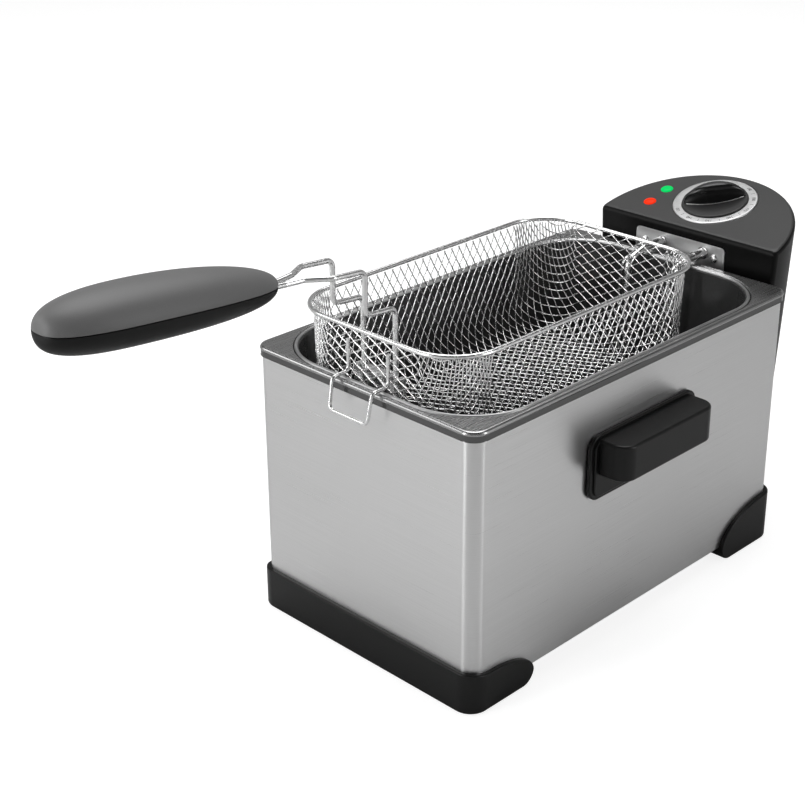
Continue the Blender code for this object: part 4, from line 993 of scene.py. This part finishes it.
def weave_family(name, slope):
    """All the wires of the mesh that lean one way; slope is 1 or -1."""
    pitch_x, pitch_y = WEAVE_PITCH
    side = math.hypot(pitch_x, pitch_y)
    spacing = side / 2  # from one crossing to the next along a wire
    heading = (pitch_x / side, slope * pitch_y / side)
    rim_u = -(Basket.straight_x + FLOOR_CORNER + Basket.reach)
    starts = {family: (start - Basket.middle_y) - family * rim_u * pitch_y / pitch_x
              for family, start in zip((1, -1), WEAVE_START)}
    lag = (starts[-1] - starts[1]) / pitch_y
    span = Basket.straight_x + Basket.straight_y + 2 * (FLOOR_CORNER + Basket.reach)
    count = int(span / pitch_y) + 2
    steps = 4
    paths = []
    for n in range(-count, count + 1):
        path = []
        for i in range(int(-span / spacing) * steps, int(span / spacing) * steps):
            along = i * spacing / steps
            place, normal, distance = Basket.fold(heading[0] * along,
                                                  starts[slope] + n * pitch_y + heading[1] * along)
            if distance <= Basket.reach:
                turns = along / spacing - lag + slope * n
                wave = slope * WEAVE_WAVE * math.cos(math.pi * turns) * (-1) ** n
                path.append([p + wave * q for p, q in zip(place, normal)])
            elif path:
                paths.append(path)
                path = []
        paths.append(path)
    return sweep(name, [path for path in paths if len(path) > 2], WEAVE_WIRE_RADIUS, 6)


def basket():
    rim = at_height(rounded_rectangle(BASKET_HALF_X, (BASKET_BACK - BASKET_FRONT) / 2, BASKET_RADIUS, 20,
                                      Basket.middle_y), BASKET_RIM_Z)
    wire("basket_rim", rim, RIM_WIRE + WIRE_EXTRA, 20, "basket", BRIGHT_WIRE, "basket_rim_wire", cyclic=True)
    for name, slope in (("basket_weave_a", 1), ("basket_weave_b", -1)):
        mesh = weave_family(name, slope)
        piece(mesh, "basket", "bright_wire", WEAVE_WIRE, "basket_shell", weighted=False, angle=80)
    half = [(HOOK_X, HOOK_WALL_Y, HOOK_TOP_Z), (HOOK_X, HOOK_WALL_Y, HOOK_ARM_Z), (HOOK_X, HOOK_OUT_Y, HOOK_ARM_Z),
            (HOOK_X - 0.001, *HOOK_FOOT)]
    points = half + [(-x, y, z) for x, y, z in half[::-1]]
    path = filleted(points, 0.0045, 8)
    wire("rim_hook", path, HOOK_WIRE + WIRE_EXTRA, 16, "basket", BRIGHT_WIRE, "drain_hook")


HANDLE_PARTING = (-0.2372, 0.3178)  # (y, z) where the two legs start to part
HANDLE_BENDS = ((-0.2205, 0.3168), (-0.1917, 0.3143), (-0.1921, 0.2822), (HANDLE_PIVOT_Y, 0.2798),
                (HANDLE_PIVOT_Y, HANDLE_PIVOT_Z))


def handle_path():
    """Both legs of the handle's wire, joined by a bend inside the grip."""
    axis = (GRIP_END - GRIP_TIP).normalized()
    narrow, spread = 0.0040, 0.0022
    inside = GRIP_END - axis * 0.110
    mouth = GRIP_END + axis * 0.004
    leg = [(narrow, inside.y, inside.z), (narrow, mouth.y, mouth.z), (narrow + spread, *HANDLE_PARTING)]
    leg += [(HANDLE_WIRE_X, y, z) for y, z in HANDLE_BENDS]
    back = [(-x, y, z) for x, y, z in leg]
    return filleted(leg[::-1] + back, 0.0060, 10)


def grip_stations(rows):
    """Shares of the grip's length with its half width there (0 to 1), closely spaced at the round ends."""
    tip, end = 2.6, 2.03  # powers of the two superellipses; 2 would be an ellipse
    angles = [math.radians(1 + 89 * i / rows) for i in range(rows + 1)]
    front = [(GRIP_WIDEST * (1 - math.cos(a) ** (2 / tip)), math.sin(a) ** (2 / tip)) for a in angles]
    back = [(GRIP_WIDEST + (1 - GRIP_WIDEST) * math.cos(a) ** (2 / end), math.sin(a) ** (2 / end)) for a in angles]
    return front + back[-2::-1]


def grip_half(name, side, node_name):
    """Half of the grip on one side of the seam, its edge turned in to leave a fine groove."""
    axis = GRIP_END - GRIP_TIP
    length = axis.length
    axis.normalize()
    normal = Vector((0.0, -axis.z, axis.y))
    rise = GRIP_RISE if side > 0 else GRIP_FALL
    ribs = 40
    groove = 0.0005
    smallest = 0.0012
    loops = []
    for station, width in grip_stations(36):
        share = GRIP_TRIM[0] + (1 - GRIP_TRIM[0] - GRIP_TRIM[1]) * station
        seam = GRIP_BOW * (1 - (2 * share - 1) ** 2) + side * GAP / 2
        middle = GRIP_TIP + axis * (length * share) + normal * seam
        half = max(GRIP_HALF_WIDTH * width, smallest)
        height = max(rise * width ** 0.8, smallest)
        ring = [middle + Vector((half - 2 * groove, 0, 0)), middle + Vector((half - groove, 0, 0))]
        for j in range(ribs + 1):
            angle = math.pi * j / ribs
            lift = side * max(height * math.sin(angle), groove * 0.6)
            ring.append(middle + Vector((half * math.cos(angle), 0, 0)) + normal * lift)
        ring += [middle - Vector((half - groove, 0, 0)), middle - Vector((half - 2 * groove, 0, 0))]
        loops.append(ring)
    made = skin(name, loops, close_first=True, close_last=True)
    # The upper half takes the light copy as painted light from above; the lower half takes the near-black copy as
    # painted shade.
    piece(made, "basket_handle", "soft_grey", GRIP_TOP_PAINTED_LIGHT if side > 0 else GRIP_UNDERSIDE_PAINTED_SHADE, node_name, angle=50)


def handle():
    wire("handle_wires", handle_path(), HANDLE_WIRE, 20, "basket_handle", BRIGHT_WIRE, "handle_wire")
    grip_half("handle_grip_top", 1, "grip_upper")
    grip_half("handle_grip_bottom", -1, "grip_lower")


# ------------ assembly, and the CAD nodes shown as they are

shell()
deck()
feet()
side_handle(-1, "left")
side_handle(1, "right")
pot()
head()
plate_and_screws()
element()
dial()
knob()
lamps()
basket()
handle()

CARRIED = (
    (PLAIN_STEEL, ("base_plate", "inner_liner", "element_clip", "grip_screw")),
    (BRIGHT_WIRE, ("handle_bracket",)),
    (TUBE_STEEL, ("thermostat_bulb", "capillary_tube")),
    (BLACK_PLASTIC, ("head_base", "head_rail", "power_inlet")),
    (BRASS, ("inlet_pin_1", "inlet_pin_2", "inlet_pin_3", "thermostat_shaft")),
    (CERAMIC, ("thermostat_body", "terminal_block")),
    (DARK_MOULDING, ("interlock_switch", "reset_switch")),
    (RED_BUTTON, ("reset_button",)),
    (RUBBER, ("rubber_foot_front_left", "rubber_foot_front_right", "rubber_foot_rear_left",
              "rubber_foot_rear_right")),
)
for surface, names in CARRIED:
    for name in names:
        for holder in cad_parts[name].material_slots:
            holder.material = surface

# ------------ stage

FLOOR_HALF = 9.0
FLOOR_SEEN = 0.42  # share of the light that shows the floor its shadows
FLOOR_GLOW = 0.84  # even light added to the floor, so that its shadows stay faint
FLOOR_BOUNCE = 0.66  # what the floor gives back to the object
HORIZON, OVERHEAD = 0.46, 0.03  # brightness of the surroundings
OVERHEAD_FROM = 0.75  # height on the unit sphere where they are at their darkest

VIEW_AZIMUTH = 45.038  # degrees, from -Y towards +X
VIEW_RISE = 23.597
VIEW_ROLL = -0.321
VIEW_PLACE = (0.76084, -0.90066 + BODY_Y, 0.69698)
SENSOR_WIDTH = 36.0
FOCAL_LENGTH = 73.544646  # for that sensor, in millimetres


def seen_and_unseen(tree, unseen, seen, out):
    """Show the camera one shader and everything else another."""
    choose = node(tree, "MixShader")
    path = node(tree, "LightPath")
    tree.links.new(path.outputs["Is Camera Ray"], choose.inputs[0])
    tree.links.new(unseen.outputs[0], choose.inputs[1])
    tree.links.new(seen.outputs[0], choose.inputs[2])
    tree.links.new(choose.outputs[0], out.inputs["Surface"])


def floor():
    """Pale floor: almost white to the eye, a calm grey in the object's reflections."""
    corners = [(x * FLOOR_HALF, y * FLOOR_HALF, 0) for x, y in ((-1, -1), (1, -1), (1, 1), (-1, 1))]
    made = new_object("floor", corners, [(0, 1, 2, 3)])
    surface = bpy.data.materials.new("pale_floor")
    surface.use_nodes = True
    tree = surface.node_tree
    tree.nodes.clear()
    both = node(tree, "AddShader")
    shown = node(tree, "BsdfDiffuse", Color=(*grey(FLOOR_SEEN), 1))
    glow = node(tree, "Emission", Color=(*grey(FLOOR_GLOW), 1))
    bounce = node(tree, "BsdfDiffuse", Color=(*grey(FLOOR_BOUNCE), 1))
    tree.links.new(shown.outputs[0], both.inputs[0])
    tree.links.new(glow.outputs[0], both.inputs[1])
    seen_and_unseen(tree, bounce, both, node(tree, "OutputMaterial"))
    made.data.materials.append(surface)


def surroundings():
    """Studio light that is bright near the horizon and dim overhead; the camera sees a white backdrop."""
    world = bpy.data.worlds.new("studio")
    bpy.context.scene.world = world
    world.use_nodes = True
    tree = world.node_tree
    light = tree.nodes["Background"]
    coords = node(tree, "TexCoord")
    split = node(tree, "SeparateXYZ")
    ramp = node(tree, "ValToRGB")
    for stop, height, shade in zip(ramp.color_ramp.elements, (0.0, OVERHEAD_FROM), (HORIZON, OVERHEAD)):
        stop.position = height
        stop.color = (*grey(shade), 1)
    tree.links.new(coords.outputs["Generated"], split.inputs["Vector"])
    tree.links.new(split.outputs["Z"], ramp.inputs["Fac"])
    tree.links.new(ramp.outputs["Color"], light.inputs["Color"])
    light.inputs["Strength"].default_value = 1.0
    backdrop = node(tree, "Background", Color=(1, 1, 1, 1))
    seen_and_unseen(tree, light, backdrop, tree.nodes["World Output"])


def softbox(name, location, target, size, watts):
    lamp = bpy.data.lights.new(name, "AREA")
    lamp.shape = "RECTANGLE"
    lamp.size, lamp.size_y = size
    lamp.energy = watts
    item = linked(name, lamp)
    item.location = location
    item.rotation_mode = "QUATERNION"
    item.rotation_quaternion = (Vector(target) - Vector(location)).to_track_quat("-Z", "Y")


def strip(name, azimuth, watts):
    """Upright softbox that stands round the object, at an azimuth from -Y towards +X."""
    distance, width = 1.9, 0.45
    low, high = 0.05, 1.6
    middle = (low + high) / 2
    softbox(name, (distance * sind(azimuth), -distance * cosd(azimuth), middle), (0, 0, middle),
            (width, high - low), watts)


def lights():
    target = (0, 0, 0.1)
    softbox("top_softbox", (-0.5, 0.5, 2.1), target, (1.6, 1.6), 32)
    softbox("front_softbox", (-1.7, -1.5, 1.3), target, (1.2, 1.2), 12)
    strip("strip_left", -13, 17)
    strip("strip_right", 113, 10)


def camera():
    """At the viewing angle found from the object's edges."""
    level = cosd(VIEW_RISE)
    back = Vector((sind(VIEW_AZIMUTH) * level, -cosd(VIEW_AZIMUTH) * level, sind(VIEW_RISE)))
    right = Vector((cosd(VIEW_AZIMUTH), sind(VIEW_AZIMUTH), 0.0))
    up = back.cross(right)
    across = right * cosd(VIEW_ROLL) + up * sind(VIEW_ROLL)
    above = up * cosd(VIEW_ROLL) - right * sind(VIEW_ROLL)
    lens = bpy.data.cameras.new("camera")
    lens.sensor_width = SENSOR_WIDTH
    lens.lens = FOCAL_LENGTH
    lens.shift_y = -0.05
    lens.clip_start = 0.05
    lens.clip_end = 50.0
    item = linked("camera", lens)
    item.matrix_world = Matrix.Translation(VIEW_PLACE) @ Matrix((across, above, back)).transposed().to_4x4()
    bpy.context.scene.camera = item


floor()
surroundings()
lights()
camera()
bpy.context.scene.view_settings.view_transform = "Standard"
